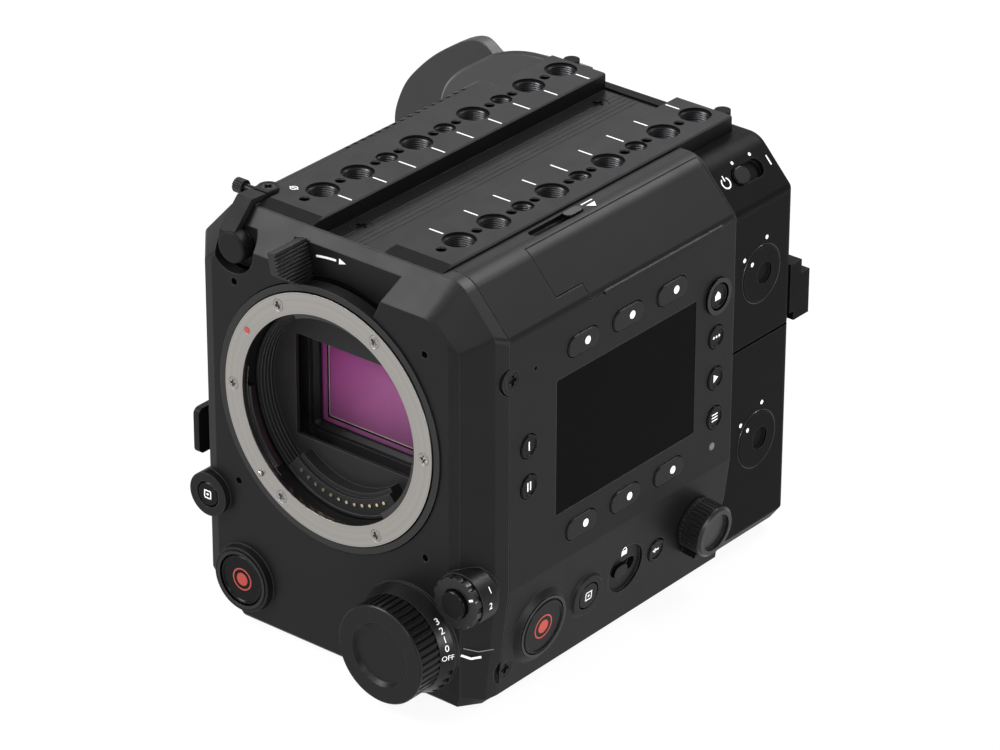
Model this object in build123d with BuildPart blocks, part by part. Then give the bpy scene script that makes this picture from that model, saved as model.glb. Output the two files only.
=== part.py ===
from build123d import *
import os
from math import atan2, cos, degrees, hypot, radians, sin

# Box-shaped cinema camera body with a large bayonet mount, without a lens.
# Millimetres. +X is the side with the display, +Y runs to the rear, +Z is up.
# The origin is the centre of the lens mount's face, on the lens axis.

os.makedirs("parts", exist_ok=True)

# Driving dimensions
flange_r = 39.0
flange_width = 6.5
flange_distance = 26.7
side_margin = 17.0
top_margin = 15.8
bottom_margin = 40.5
rail_proud = 1.0
front_y = 1.0
seam_y = 13.8
rear_seam_y = 118.0
rear_y = 149.3
throat_r = flange_r - flange_width
half_width = flange_r + side_margin
rail_top = flange_r + top_margin
shoulder_top = rail_top - rail_proud
bottom_z = -flange_r - bottom_margin

# Clearances
seam = 0.3
fit = 0.1
running = 0.3
cut = 2.0

# Cross-section of the side panels, right half, from the shoulder down
shoulder_run = 14.3
slope_fall = 15.6
belt_rise = 37.2
strip_run = 4.5
strip_rise = 1.5
base_run = 6.5
shoulder_x = half_width - shoulder_run
slope_z = shoulder_top - slope_fall
belt_z = bottom_z + belt_rise
strip_x = half_width - strip_run
strip_z = bottom_z + strip_rise
base_x = half_width - base_run
shoulder_r = 8.0
slope_r = 3.0
panel_half = [(shoulder_x, shoulder_top), (half_width, slope_z), (half_width, belt_z),
              (strip_x, strip_z), (base_x, bottom_z)]
panel_radii = [shoulder_r, slope_r, 0, 0, 0]

# Cross-section of the rear housing, a step inside the panels
rear_step = 2.0
rear_top_fall = 4.8
rear_shoulder_run = 12.6
rear_slope_fall = 1.9
rear_low_rise = 7.2
rear_base_run = 3.5
rear_bottom_rise = 2.5
rear_edge_r = 2.5
rear_half_width = half_width - rear_step
rear_top = rail_top - rear_top_fall
rear_shoulder_x = rear_half_width - rear_shoulder_run
rear_slope_z = slope_z - rear_slope_fall
rear_low_z = bottom_z + rear_low_rise
rear_base_x = rear_half_width - rear_base_run
rear_bottom = bottom_z + rear_bottom_rise
rear_half = [(rear_shoulder_x, rear_top), (rear_half_width, rear_slope_z), (rear_half_width, rear_low_z),
             (rear_base_x, rear_bottom)]
rear_radii = [shoulder_r, slope_r, 0, 0]

# Cross-section of the chassis inside
chassis_wall = 2.5
panel_thick = 5.8
chassis_top_fall = 7.8
chassis_shoulder_run = 12.2
chassis_slope_fall = 4.2
chassis_low_rise = 1.3
chassis_foot_run = 4.2
base_thick = 5.0
chassis_half_width = half_width - panel_thick
chassis_top = rail_top - chassis_top_fall
chassis_shoulder_x = chassis_half_width - chassis_shoulder_run
chassis_slope_z = slope_z - chassis_slope_fall
chassis_low_z = belt_z + chassis_low_rise
chassis_foot_x = chassis_half_width - chassis_foot_run
chassis_bottom = bottom_z + base_thick
chassis_rear_y = rear_seam_y - seam
chassis_half = [(chassis_shoulder_x, chassis_top), (chassis_half_width, chassis_slope_z),
                (chassis_half_width, chassis_low_z), (chassis_foot_x, chassis_bottom)]
chassis_radii = [0, 0, 0, 0]


def front_plane(y):
    """Plane that faces the front: its x is X and its y is Z."""
    return Plane(origin=(0, y, 0), x_dir=(1, 0, 0), z_dir=(0, -1, 0))


def right_plane(x, y=0, z=0):
    """Plane that faces +X: its x is Y and its y is Z."""
    return Plane(origin=(x, y, z), x_dir=(0, 1, 0), z_dir=(1, 0, 0))


def left_plane(x, y=0, z=0):
    """Plane that faces -X at x from the middle: its x is -Y and its y is Z."""
    return Plane(origin=(-x, y, z), x_dir=(0, -1, 0), z_dir=(-1, 0, 0))


def front_at(x, y, z):
    """Plane that faces the front at one point."""
    return Plane(origin=(x, y, z), x_dir=(1, 0, 0), z_dir=(0, -1, 0))


def lean_plane(top, low, y, z):
    """Plane on a leaning facet of the right side, between its top and low points of the outline."""
    share = (top[1] - z) / (top[1] - low[1])
    lean = atan2(low[0] - top[0], top[1] - low[1])
    x = top[0] + share * (low[0] - top[0])
    return Plane(origin=(x, y, z), x_dir=(0, 1, 0), z_dir=(cos(lean), 0, sin(lean)))


def strip_plane(place):
    """Plane on the lower control strip, which leans in below the belt line."""
    return lean_plane((half_width, belt_z), (strip_x, strip_z), *place)


def outline(half, radii, left=None, mode=Mode.ADD):
    """Adds a closed outline to the sketch: right half from the top down, then the left half."""
    other = left if left else [(-x, z) for x, z in reversed(half)]
    with BuildLine(mode=Mode.PRIVATE) as rim:
        FilletPolyline(*half, *other, radius=[*radii, *reversed(radii)], close=True)
    make_face(rim.edges(), mode=mode)


def grown(half, amount):
    """The half outline moved outward by an amount, along each of its sides."""
    ends = [(0, half[0][1]), *half, (0, half[-1][1])]
    lines = []
    for (x0, z0), (x1, z1) in zip(ends, ends[1:]):
        run = hypot(x1 - x0, z1 - z0)
        nx, nz = (z0 - z1) / run, (x1 - x0) / run
        lines.append((nx, nz, nx * x0 + nz * z0 + amount))
    points = []
    for (a, b, c), (d, e, f) in zip(lines, lines[1:]):
        det = a * e - b * d
        points.append(((c * e - b * f) / det, (a * f - c * d) / det))
    return points


def arc_ring(inner, outer, start, end):
    """Adds a ring segment to the sketch, between two angles in degrees."""
    a, b = radians(start), radians(end)
    mid = (a + b) / 2
    with BuildLine(mode=Mode.PRIVATE) as rim:
        ThreePointArc((outer * cos(a), outer * sin(a)), (outer * cos(mid), outer * sin(mid)),
                      (outer * cos(b), outer * sin(b)))
        Line((outer * cos(b), outer * sin(b)), (inner * cos(b), inner * sin(b)))
        ThreePointArc((inner * cos(b), inner * sin(b)), (inner * cos(mid), inner * sin(mid)),
                      (inner * cos(a), inner * sin(a)))
        Line((inner * cos(a), inner * sin(a)), (outer * cos(a), outer * sin(a)))
    make_face(rim.edges())


def save(builder, name):
    """Labels a finished piece and writes its file."""
    builder.part.label = name
    export_step(builder.part, f"parts/{name}.step")


# Top plate: two drilled rails and a grooved channel between them
plate_run = 7.3
plate_half_width = shoulder_x - plate_run
plate_front_y = 10.5
plate_rear_y = 143.8
plate_bottom = chassis_top + seam
rail_width = 21.1
channel_depth = 5.4
channel_half_width = plate_half_width - rail_width
channel_floor = rail_top - channel_depth
groove_pitch = 2.0
groove_width = 0.35
groove_depth = 0.12
groove_count = 5
groove_x = -4.0
plate_front_run = 4.5
plate_front_fall = 1.0
rail_hole_inset = 8.9
rail_x = plate_half_width - rail_hole_inset
rail_mid_y = 82.9
large_hole_r = 4.4
large_sink_r = 5.0
medium_hole_r = 2.9
medium_sink_r = 3.3
small_hole_r = 1.6
rail_hole_depth = 6.5
sink_depth = 0.8
large_offsets = [13.0, 39.2, 54.5]
medium_offsets = [0.0, 26.2]
small_offsets = [5.2, 20.8, 31.3, 46.8]
small_first_offset = 62.4
plate_edge_r = 1.0
tick_depth = 0.15
plate_screw_r = 3.1
plate_screw_depth = 1.4
plate_screw_x = -8.9
plate_screw_front_y = 26.0
plate_screw_rear_y = 134.6
screw_post_r = 1.2

large_ys = sorted(rail_mid_y + s * d for d in large_offsets for s in (-1, 1))
medium_ys = sorted({rail_mid_y + s * d for d in medium_offsets for s in (-1, 1)})
small_ys = sorted([rail_mid_y + s * d for d in small_offsets for s in (-1, 1)]
                  + [rail_mid_y - small_first_offset])
plate_screw_places = [(plate_screw_x, plate_screw_front_y), (plate_screw_x, plate_screw_rear_y)]

with BuildPart() as top_plate:
    with BuildSketch(front_plane(plate_front_y)):
        with BuildLine():
            right = Polyline((0, channel_floor), (channel_half_width, channel_floor),
                             (channel_half_width, rail_top), (plate_half_width, rail_top),
                             (plate_half_width, plate_bottom), (0, plate_bottom))
            mirror(right, about=Plane.YZ)
        make_face()
    extrude(amount=plate_front_y - plate_rear_y)
    chamfer(top_plate.edges().filter_by(Axis.Y).filter_by_position(
        Axis.Z, rail_top - fit, rail_top + fit), length=plate_edge_r / 2)
    with BuildSketch(Plane.XY.offset(channel_floor)):
        with Locations((groove_x, (plate_front_y + plate_rear_y) / 2)):
            with GridLocations(groove_pitch, 0, groove_count, 1):
                Rectangle(groove_width, plate_rear_y - plate_front_y + cut)
    extrude(amount=-groove_depth, mode=Mode.SUBTRACT)
    with Locations(*[(s * rail_x, y, rail_top) for s in (-1, 1) for y in large_ys]):
        CounterBoreHole(large_hole_r, large_sink_r, sink_depth, rail_hole_depth)
    with Locations(*[(s * rail_x, y, rail_top) for s in (-1, 1) for y in medium_ys]):
        CounterBoreHole(medium_hole_r, medium_sink_r, sink_depth, rail_hole_depth)
    with Locations(*[(s * rail_x, y, rail_top) for s in (-1, 1) for y in small_ys]):
        Hole(small_hole_r, rail_hole_depth)
    with Locations(*[(x, y, channel_floor) for x, y in plate_screw_places]):
        Hole(plate_screw_r + fit, plate_screw_depth + fit)
        Hole(screw_post_r + fit)
    # sloping front ends of the rails
    with BuildSketch(right_plane(-half_width)):
        with BuildLine():
            Polyline((plate_front_y, rail_top - plate_front_fall), (plate_front_y + plate_front_run, rail_top),
                     (plate_front_y, rail_top + cut), close=True)
        make_face()
    extrude(amount=2 * half_width, mode=Mode.SUBTRACT)
save(top_plate, "top_plate")

# Front housing: front face, sloping hood and leaning sides, lofted through four sections
hood_rise_z = 10.8
face_run = 11.7
face_corner_run = 7.3
face_corner_fall = 0.8
face_bottom_rise = 2.3
face_low_rise = 6.0
edge_y = 1.9
edge_run = 8.3
edge_corner_run = 10.0
edge_corner_fall = 1.2
edge_step = 1.0
cut_corner_rise = 13.5
cut_corner_run = 9.3
hood_y = 9.6
hood_run = 1.6
hood_corner_rise = 1.7
hood_low_run = 0.8
housing_wall = 4.0
cavity_run = 11.0
cavity_top_fall = 8.0
cavity_drop = 0.5
lock_ring_gap = 0.4
lock_ring_width = 2.0
face_top = rail_top - hood_rise_z
face_half_width = half_width - face_run
face_corner_x = face_half_width - face_corner_run
face_corner_z = slope_z - face_corner_fall
edge_top = face_top + edge_step
edge_half_width = half_width - edge_run
edge_corner_x = edge_half_width - edge_corner_run
edge_corner_z = face_corner_z - edge_corner_fall
face_bottom = bottom_z + face_bottom_rise
edge_bottom = face_bottom - edge_step
face_low_z = bottom_z + face_low_rise
edge_low_z = face_low_z - edge_step
cut_corner_z = bottom_z + cut_corner_rise
cut_corner_x = face_half_width - cut_corner_run
hood_half_width = half_width - hood_run
hood_slope_z = slope_z + hood_corner_rise
hood_low_x = strip_x - hood_low_run
cavity_half_width = half_width - cavity_run
cavity_top = face_top - cavity_top_fall
cavity_bottom = chassis_bottom - cavity_drop
cavity_y = front_y + housing_wall
lock_ring_r = flange_r + lock_ring_gap + lock_ring_width
mount_bore_r = lock_ring_r + running
front_hole_x = 35.65
front_hole_z = 32.6
front_hole_r = 1.15
front_hole_depth = 3.0
hub_end_y = 9.0
bulkhead_y = hub_end_y + seam

face_r = [5.0, 2.0, 0, 0, 0]
hood_r = [shoulder_r, slope_r, 0, 0, 0]
sections = [
    (front_y, [(face_corner_x, face_top), (face_half_width, face_corner_z), (face_half_width, belt_z),
               (face_half_width, face_low_z), (face_half_width - housing_wall / 2, face_bottom)],
     [(-cut_corner_x, face_bottom), (-face_half_width, cut_corner_z)], face_r),
    (edge_y, [(edge_corner_x, edge_top), (edge_half_width, edge_corner_z), (edge_half_width, belt_z),
              (edge_half_width, edge_low_z), (edge_half_width - housing_wall / 4, edge_bottom)],
     [(-cut_corner_x, edge_bottom), (-edge_half_width, cut_corner_z)], face_r),
    (hood_y, [(shoulder_x, shoulder_top), (hood_half_width, hood_slope_z), (hood_half_width, belt_z),
              (hood_low_x, strip_z), (base_x, bottom_z)],
     [(-base_x, bottom_z), (-hood_low_x, strip_z)], hood_r),
    (seam_y, panel_half, [(-base_x, bottom_z), (-strip_x, strip_z)], hood_r),
]

# Lens release: a thin ring round the mount with a ribbed tab in a recess of the hood
lock_ring_y = 0.4
lock_ring_depth = 4.2
tab_angle = 103.6
tab_travel = 34.0
tab_thick = 3.0
tab_length = 11.9
tab_front_y = -7.0
tab_front_height = 6.6
recess_y = 6.8
recess_margin_angle = 3.6
recess_end_angle = tab_angle - tab_travel - recess_margin_angle
recess_tab_angle = 108.8
recess_reach = 10.7
rib_depth = 0.7
rib_width = 0.55
rib_count = 10
tab_top_r = lock_ring_r + tab_length
tab_front_low_r = tab_top_r - tab_front_height
recess_outer_r = tab_top_r + recess_reach

# Terminal in the hood's left corner, with a rubber cap on a strap
terminal_run = 5.5
terminal_drop = 0.6
terminal_x = terminal_run - shoulder_x
terminal_z = face_top - terminal_drop
terminal_r = 4.6
terminal_bore_r = 3.4
terminal_y = 4.8
terminal_depth = 3.2
scoop_r = 8.2
scoop_y = 5.6

# Ears of the side panels, one round each front cover screw, as (y, z)
ear_upper_y = 15.2
ear_upper_drop = 12.7
ear_lower_y = 16.5
ear_lower_rise = 9.5
ear_places = [(ear_upper_y, slope_z - ear_upper_drop), (ear_lower_y, bottom_z + ear_lower_rise)]
ear_r = 4.4
ear_base_x = chassis_half_width

# Raised seats for the round controls at the front
record_inset = 10.7
record_rise = 15.2
record_x = record_inset - face_half_width
record_z = bottom_z + record_rise
record_seat_r = 10.6
record_seat_y = -1.2
record_button_r = 8.0
record_dish_r = 8.9
grab_inset = 10.0
grab_rise = 2.5
grab_x = grab_inset - half_width
grab_z = belt_z + grab_rise
grab_seat_r = 7.0
grab_seat_y = -1.4
grab_button_r = 3.9
grab_dish_r = 5.2
focus_inset = 5.8
focus_rise = 2.0
focus_x = half_width - focus_inset
focus_z = belt_z + focus_rise
focus_seat_r = 8.4
focus_seat_y = -0.6
focus_seat_rear_y = 6.0
focus_seat_end_y = 13.0
focus_seat_end_r = 3.0
filter_inset = 25.9
filter_rise = 19.1
filter_x = half_width - filter_inset
filter_z = bottom_z + filter_rise
filter_seat_r = 17.4
filter_seat_y = 0.2
filter_post_r = 4.0
filter_front_y = -13.0
filter_post_short = 2.6
focus_bore_r = 3.0
focus_bore_depth = 5.0
button_pocket = 4.2
front_ring_outer_r = 9.3
front_ring_proud = 0.3
side_ring_outer_r = 10.0
side_ring_proud = 0.3
ring_seat = 0.6

with BuildPart() as front_housing:
    for y, half, low, radii in sections:
        left = [*low, *[(-x, z) for x, z in reversed(half[:3])]]
        with BuildSketch(front_plane(y)):
            outline(half, radii, left)
    loft(ruled=True)
    # seats for the controls
    with BuildSketch(front_at(record_x, record_seat_y, record_z)):
        Circle(record_seat_r - seam)
    with BuildSketch(front_at(record_x, front_y + seam, record_z)):
        Circle(record_seat_r + seam)
    loft()
    with BuildSketch(front_at(grab_x, grab_seat_y, grab_z)):
        Circle(grab_seat_r)
    extrude(amount=grab_seat_y - hood_y)
    with BuildSketch(front_at(focus_x, focus_seat_y, focus_z)):
        Circle(focus_seat_r)
    extrude(amount=focus_seat_y - focus_seat_rear_y)
    with BuildSketch(front_at(focus_x, focus_seat_rear_y, focus_z)):
        Circle(focus_seat_r)
    with BuildSketch(front_at(focus_x, focus_seat_end_y, focus_z)):
        Circle(focus_seat_end_r)
    loft()
    with BuildSketch(front_at(filter_x, filter_seat_y, filter_z)):
        Circle(filter_seat_r)
    extrude(amount=filter_seat_y - edge_y)
    # inside and the mount's bore
    with BuildSketch(front_plane(cavity_y)):
        with Locations((0, (cavity_top + cavity_bottom) / 2)):
            Rectangle(2 * cavity_half_width, cavity_top - cavity_bottom)
    extrude(amount=cavity_y - seam_y - cut, mode=Mode.SUBTRACT)
    with BuildSketch(front_plane(front_y - cut)):
        Circle(mount_bore_r)
    extrude(amount=front_y - cut - bulkhead_y, mode=Mode.SUBTRACT)
    # place for the top plate
    with BuildSketch(Plane.XY.offset(chassis_top)):
        with Locations((0, plate_rear_y)):
            Rectangle(2 * (plate_half_width + seam), 2 * (plate_rear_y - plate_front_y + seam))
    extrude(amount=rail_top, mode=Mode.SUBTRACT)
    # recess of the lens release
    with BuildSketch(front_plane(front_y - cut)):
        arc_ring(mount_bore_r - seam, recess_outer_r, recess_end_angle, recess_tab_angle)
    extrude(amount=front_y - cut - recess_y, mode=Mode.SUBTRACT)
    # scoop and bore of the terminal
    with BuildSketch(front_at(terminal_x, front_y - cut, terminal_z)):
        Circle(scoop_r)
    extrude(amount=front_y - cut - scoop_y, mode=Mode.SUBTRACT)
    with BuildSketch(front_at(terminal_x, front_y, terminal_z)):
        Circle(terminal_r + seam / 2)
    extrude(amount=front_y - terminal_y - terminal_depth, mode=Mode.SUBTRACT)
    # dishes and bores of the front controls
    with Locations(front_at(record_x, record_seat_y, record_z)):
        CounterBoreHole(record_button_r + seam, front_ring_outer_r + fit / 2, ring_seat, button_pocket)
    with Locations(front_at(grab_x, grab_seat_y, grab_z)):
        Hole(grab_button_r + seam, button_pocket)
    with Locations(front_at(focus_x, focus_seat_y, focus_z)):
        Hole(focus_bore_r, focus_bore_depth)
    with BuildSketch(front_plane(front_y)):
        with Locations(*[(sx * front_hole_x, sz * front_hole_z) for sx in (-1, 1) for sz in (-1, 1)]):
            Circle(front_hole_r)
    extrude(amount=-front_hole_depth, mode=Mode.SUBTRACT)
    # post that carries the filter dial and its ring
    with BuildSketch(front_at(filter_x, filter_seat_y + seam, filter_z)):
        Circle(filter_post_r)
    extrude(amount=filter_seat_y + seam - filter_front_y - filter_post_short)
    # ears of the side panels round the front cover screws
    for place in ear_places:
        for side in (right_plane, left_plane):
            along = place[0] if side == right_plane else -place[0]
            with BuildSketch(side(ear_base_x)):
                with Locations((along, place[1])):
                    Circle(ear_r + seam)
            extrude(amount=half_width, mode=Mode.SUBTRACT)
save(front_housing, "front_housing")

# Lens mount ring with three bayonet claws and its six countersunk screws
flange_thick = 3.0
lip_depth = 1.6
relief = 0.5
hub_wall = 2.3
claw_reach = 1.9
hub_r = throat_r + relief + hub_wall
claw_r = throat_r - claw_reach
claw_thick = 2.0
claw_angles = [(72.0, 114.7), (180.0, 228.0), (-52.8, -8.0)]
mount_screw_inset = 3.0
mount_screw_circle_r = flange_r - mount_screw_inset
mount_screw_r = 1.0
mount_head_r = 1.9
mount_screw_count = 6
pin_angle = -134.7
pin_inset = 2.1
pin_circle_r = flange_r - pin_inset
pin_r = 0.9
pin_proud = 0.9
pin_rear_y = 7.5
index_angle = 147.6
index_r = 1.1
index_depth = 0.25

pin_x = pin_circle_r * cos(radians(pin_angle))
pin_z = pin_circle_r * sin(radians(pin_angle))

with BuildPart() as lens_mount_ring:
    with BuildSketch(front_plane(0)):
        Circle(flange_r)
        Circle(throat_r, mode=Mode.SUBTRACT)
    extrude(amount=-flange_thick)
    with BuildSketch(front_plane(flange_thick)):
        Circle(hub_r)
        Circle(throat_r, mode=Mode.SUBTRACT)
    extrude(amount=flange_thick - hub_end_y)
    with BuildSketch(front_plane(lip_depth)):
        Circle(throat_r + relief)
    extrude(amount=-hub_end_y, mode=Mode.SUBTRACT)
    with BuildSketch(front_plane(lip_depth)):
        for start, end in claw_angles:
            arc_ring(claw_r, throat_r + relief + seam, start, end)
    extrude(amount=-claw_thick)
    with Locations(front_plane(0)):
        with PolarLocations(mount_screw_circle_r, mount_screw_count):
            CounterSinkHole(mount_screw_r + fit, mount_head_r + fit, hub_end_y, counter_sink_angle=90)
    with Locations(front_at(pin_x, 0, pin_z)):
        Hole(pin_r + fit, flange_thick)
    with Locations(front_plane(0)):
        with PolarLocations(mount_screw_circle_r - seam, 1, start_angle=index_angle):
            Hole(index_r, index_depth)
save(lens_mount_ring, "lens_mount_ring")

# Cross-head screws share one shape: a sunk or low head, a shank and a cross recess
cross_share = 0.62
cross_width_share = 0.22
cross_depth = 0.7


def screw(head_r, head_h, shank_r, shank_length, sunk):
    """Adds one screw to the part, its head's top on the current place."""
    top = Align.MAX
    if sunk:
        Cone(shank_r, head_r, head_h, align=(Align.CENTER, Align.CENTER, top))
    else:
        Cylinder(head_r, head_h, align=(Align.CENTER, Align.CENTER, top))
    Cylinder(shank_r, shank_length, align=(Align.CENTER, Align.CENTER, top))
    for turn in (0, 90):
        Box(2 * head_r * cross_share, 2 * head_r * cross_width_share, 2 * cross_depth,
            rotation=(0, 0, turn), mode=Mode.SUBTRACT)


mount_shank_length = 5.5
with BuildPart() as mount_screws:
    with Locations(front_plane(0)):
        with PolarLocations(mount_screw_circle_r, mount_screw_count):
            screw(mount_head_r, mount_head_r - mount_screw_r, mount_screw_r, mount_shank_length, True)
save(mount_screws, "mount_screws")

with BuildPart() as lens_lock_pin:
    with Locations(front_at(pin_x, -pin_proud, pin_z)):
        Cylinder(pin_r, pin_proud + pin_rear_y, align=(Align.CENTER, Align.CENTER, Align.MAX))
    chamfer(lens_lock_pin.edges().group_by(Axis.Y)[0], length=pin_r / 4)
save(lens_lock_pin, "lens_lock_pin")

tab_plane = Plane(origin=(0, 0, 0), x_dir=(cos(radians(tab_angle)), 0, sin(radians(tab_angle))),
                  z_dir=(-sin(radians(tab_angle)), 0, cos(radians(tab_angle))))
tab_rear_y = recess_y - seam
with BuildPart() as lens_lock_ring:
    with BuildSketch(front_plane(lock_ring_y)):
        Circle(lock_ring_r)
        Circle(flange_r + lock_ring_gap, mode=Mode.SUBTRACT)
    extrude(amount=-lock_ring_depth)
    with BuildSketch(tab_plane):
        with BuildLine():
            Polyline((lock_ring_r - seam, lock_ring_y), (tab_front_low_r, tab_front_y),
                     (tab_top_r, tab_front_y), (tab_top_r, tab_rear_y), (lock_ring_r + seam, tab_rear_y),
                     (lock_ring_r - seam, lock_ring_y + lock_ring_depth), close=True)
        make_face()
    extrude(amount=tab_thick)
    rib_pitch = (tab_top_r - lock_ring_r) / (rib_count + 1)
    with BuildSketch(tab_plane):
        for i in range(rib_count):
            with Locations((lock_ring_r + (i + 1) * rib_pitch, 0)):
                Rectangle(rib_width, 2 * (recess_y + tab_rear_y - tab_front_y))
    extrude(amount=rib_depth, mode=Mode.SUBTRACT)
save(lens_lock_ring, "lens_lock_ring")

# Mount tunnel: stepped light trap, rear plate with the picture opening, contact carrier
tunnel_y = bulkhead_y
tunnel_plate_y = 21.0
tunnel_rear_y = 22.4
tunnel_run = 0.3
step_count = 5
step_inset = 0.6
step_fall = 0.3
sleeve_y = 6.2
mask_y = 11.7
mask_thick = 1.3
mask_half_x = 22.1
mask_half_z = 16.5
opening_half_x = 25.2
opening_half_z = 19.2
opening_r = 2.0
window_r = 0.8
contact_width = 6.4
contact_start = -130.0
contact_end = -49.0
contact_y = 6.4
contact_step_y = 7.8
contact_pin_inset = 3.8
contact_count = 12
contact_first = -122.7
contact_last = -56.3
contact_pin_size = 0.5
contact_proud = 0.5
contact_pin_length = 2.2

tunnel_outer_r = hub_r - tunnel_run
sleeve_outer_r = throat_r + relief - seam
step_inner_r = throat_r - step_inset
contact_outer_r = step_inner_r
contact_inner_r = contact_outer_r - contact_width
contact_pin_r = throat_r - contact_pin_inset
step_length = (mask_y - sleeve_y) / step_count
pin_pitch = (contact_last - contact_first) / (contact_count - 1)
contact_angles = [radians(contact_first + i * pin_pitch) for i in range(contact_count)]
contact_places = [(contact_pin_r * cos(a), contact_pin_r * sin(a)) for a in contact_angles]

with BuildPart() as mount_tunnel:
    with BuildSketch(front_plane(sleeve_y)):
        Circle(sleeve_outer_r)
    extrude(amount=sleeve_y - tunnel_rear_y)
    with BuildSketch(front_plane(tunnel_y)):
        Circle(tunnel_outer_r)
    extrude(amount=tunnel_y - tunnel_rear_y)
    for i in range(step_count):
        with BuildSketch(front_plane(sleeve_y + i * step_length)):
            Circle(step_inner_r - i * step_fall)
        extrude(amount=-step_length, mode=Mode.SUBTRACT)
    # mask, the room behind it, and the picture opening of the rear plate
    with BuildSketch(front_plane(mask_y)):
        RectangleRounded(2 * mask_half_x, 2 * mask_half_z, window_r)
    extrude(amount=-(mask_thick + seam), mode=Mode.SUBTRACT)
    with BuildSketch(front_plane(mask_y + mask_thick)):
        Circle(step_inner_r)
    extrude(amount=mask_y + mask_thick - tunnel_plate_y, mode=Mode.SUBTRACT)
    with BuildSketch(front_plane(tunnel_plate_y)):
        RectangleRounded(2 * opening_half_x, 2 * opening_half_z, opening_r)
    extrude(amount=tunnel_plate_y - tunnel_rear_y - cut, mode=Mode.SUBTRACT)
    # contact carrier in two steps
    with BuildSketch(front_plane(contact_y)):
        arc_ring(contact_inner_r + (contact_step_y - contact_y), contact_outer_r, contact_start, contact_end)
    extrude(amount=contact_y - mask_y - seam)
    with BuildSketch(front_plane(contact_step_y)):
        arc_ring(contact_inner_r, contact_outer_r, contact_start, contact_end)
    extrude(amount=contact_step_y - mask_y - seam)
    with BuildSketch(front_plane(contact_y)):
        with Locations(*contact_places):
            Circle(contact_pin_size + fit / 2)
    extrude(amount=-(contact_pin_length - contact_proud + fit), mode=Mode.SUBTRACT)
save(mount_tunnel, "mount_tunnel")

with BuildPart() as contact_pins:
    with BuildSketch(front_plane(contact_y - contact_proud)):
        with Locations(*contact_places):
            Circle(contact_pin_size)
    extrude(amount=-contact_pin_length)
save(contact_pins, "contact_pins")

# Sensor stack: masking frame, cover glass and image sensor on the chassis wall
frame_y = tunnel_rear_y + seam
frame_thick = 2.3
frame_half_x = 27.6
frame_half_z = 21.4
window_half_x = 24.0
window_half_z = 18.0
glass_thick = 0.9
glass_margin = 2.0
sensor_margin = 4.0
sensor_thick = 3.4
sensor_recess = 0.4
sensor_half_x = 21.9
sensor_half_z = 16.45

with BuildPart() as sensor_frame:
    with BuildSketch(front_plane(frame_y)):
        RectangleRounded(2 * frame_half_x, 2 * frame_half_z, opening_r)
        RectangleRounded(2 * window_half_x, 2 * window_half_z, window_r, mode=Mode.SUBTRACT)
    extrude(amount=-frame_thick)
    chamfer(sensor_frame.faces().sort_by(Axis.Y)[0].inner_wires().edges(), length=frame_thick / 2)
save(sensor_frame, "sensor_frame")

glass_y = frame_y + frame_thick + fit
with BuildPart() as sensor_glass:
    with BuildSketch(front_plane(glass_y)):
        RectangleRounded(2 * (window_half_x + glass_margin), 2 * (window_half_z + glass_margin), window_r)
    extrude(amount=-glass_thick)
save(sensor_glass, "sensor_glass")

sensor_y = flange_distance - sensor_recess
with BuildPart() as image_sensor:
    with BuildSketch(front_plane(sensor_y)):
        RectangleRounded(2 * (window_half_x + sensor_margin), 2 * (window_half_z + sensor_margin), window_r)
    extrude(amount=-sensor_thick)
    with BuildSketch(front_plane(sensor_y)):
        Rectangle(2 * sensor_half_x, 2 * sensor_half_z)
    extrude(amount=-sensor_recess, mode=Mode.SUBTRACT)
save(image_sensor, "image_sensor")

# Main chassis: front bulkhead with the mount's boss, box walls and the sensor wall
bulkhead_half_width = cavity_half_width - seam
bulkhead_top = cavity_top - seam
bulkhead_bottom = cavity_bottom + seam
boss_run = 0.1
boss_outer_r = flange_r - boss_run
boss_inner_r = hub_r + seam
sensor_wall_y = sensor_y + sensor_thick
sensor_wall_thick = 3.0
rear_wall_y = 60.0

with BuildPart() as main_chassis:
    with BuildSketch(front_plane(bulkhead_y)):
        with Locations((0, (bulkhead_top + bulkhead_bottom) / 2)):
            Rectangle(2 * bulkhead_half_width, bulkhead_top - bulkhead_bottom)
    extrude(amount=bulkhead_y - seam_y - seam)
    with BuildSketch(front_plane(seam_y + seam)):
        outline(chassis_half, chassis_radii)
    extrude(amount=seam_y + seam - chassis_rear_y)
    with BuildSketch(front_plane(flange_thick + fit)):
        Circle(boss_outer_r)
    extrude(amount=flange_thick + fit - bulkhead_y)
    with BuildSketch(front_plane(0)):
        Circle(boss_inner_r)
    extrude(amount=-sensor_wall_y, mode=Mode.SUBTRACT)
    inner = grown(chassis_half, -chassis_wall)
    with BuildSketch(front_plane(sensor_wall_y + sensor_wall_thick)):
        outline(inner, chassis_radii)
    extrude(amount=sensor_wall_y + sensor_wall_thick - rear_y, mode=Mode.SUBTRACT)
    with BuildSketch(front_plane(seam_y + seam + chassis_wall)):
        outline(inner, chassis_radii)
        Circle(tunnel_outer_r + chassis_wall + seam, mode=Mode.SUBTRACT)
    extrude(amount=seam_y + seam + chassis_wall - sensor_wall_y, mode=Mode.SUBTRACT)
    with Locations(front_plane(flange_thick + fit)):
        with PolarLocations(mount_screw_circle_r, mount_screw_count):
            Hole(mount_screw_r + fit, mount_shank_length)
    with Locations(front_at(pin_x, 0, pin_z)):
        Hole(pin_r + fit, pin_rear_y + cut)
save(main_chassis, "main_chassis")

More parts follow.
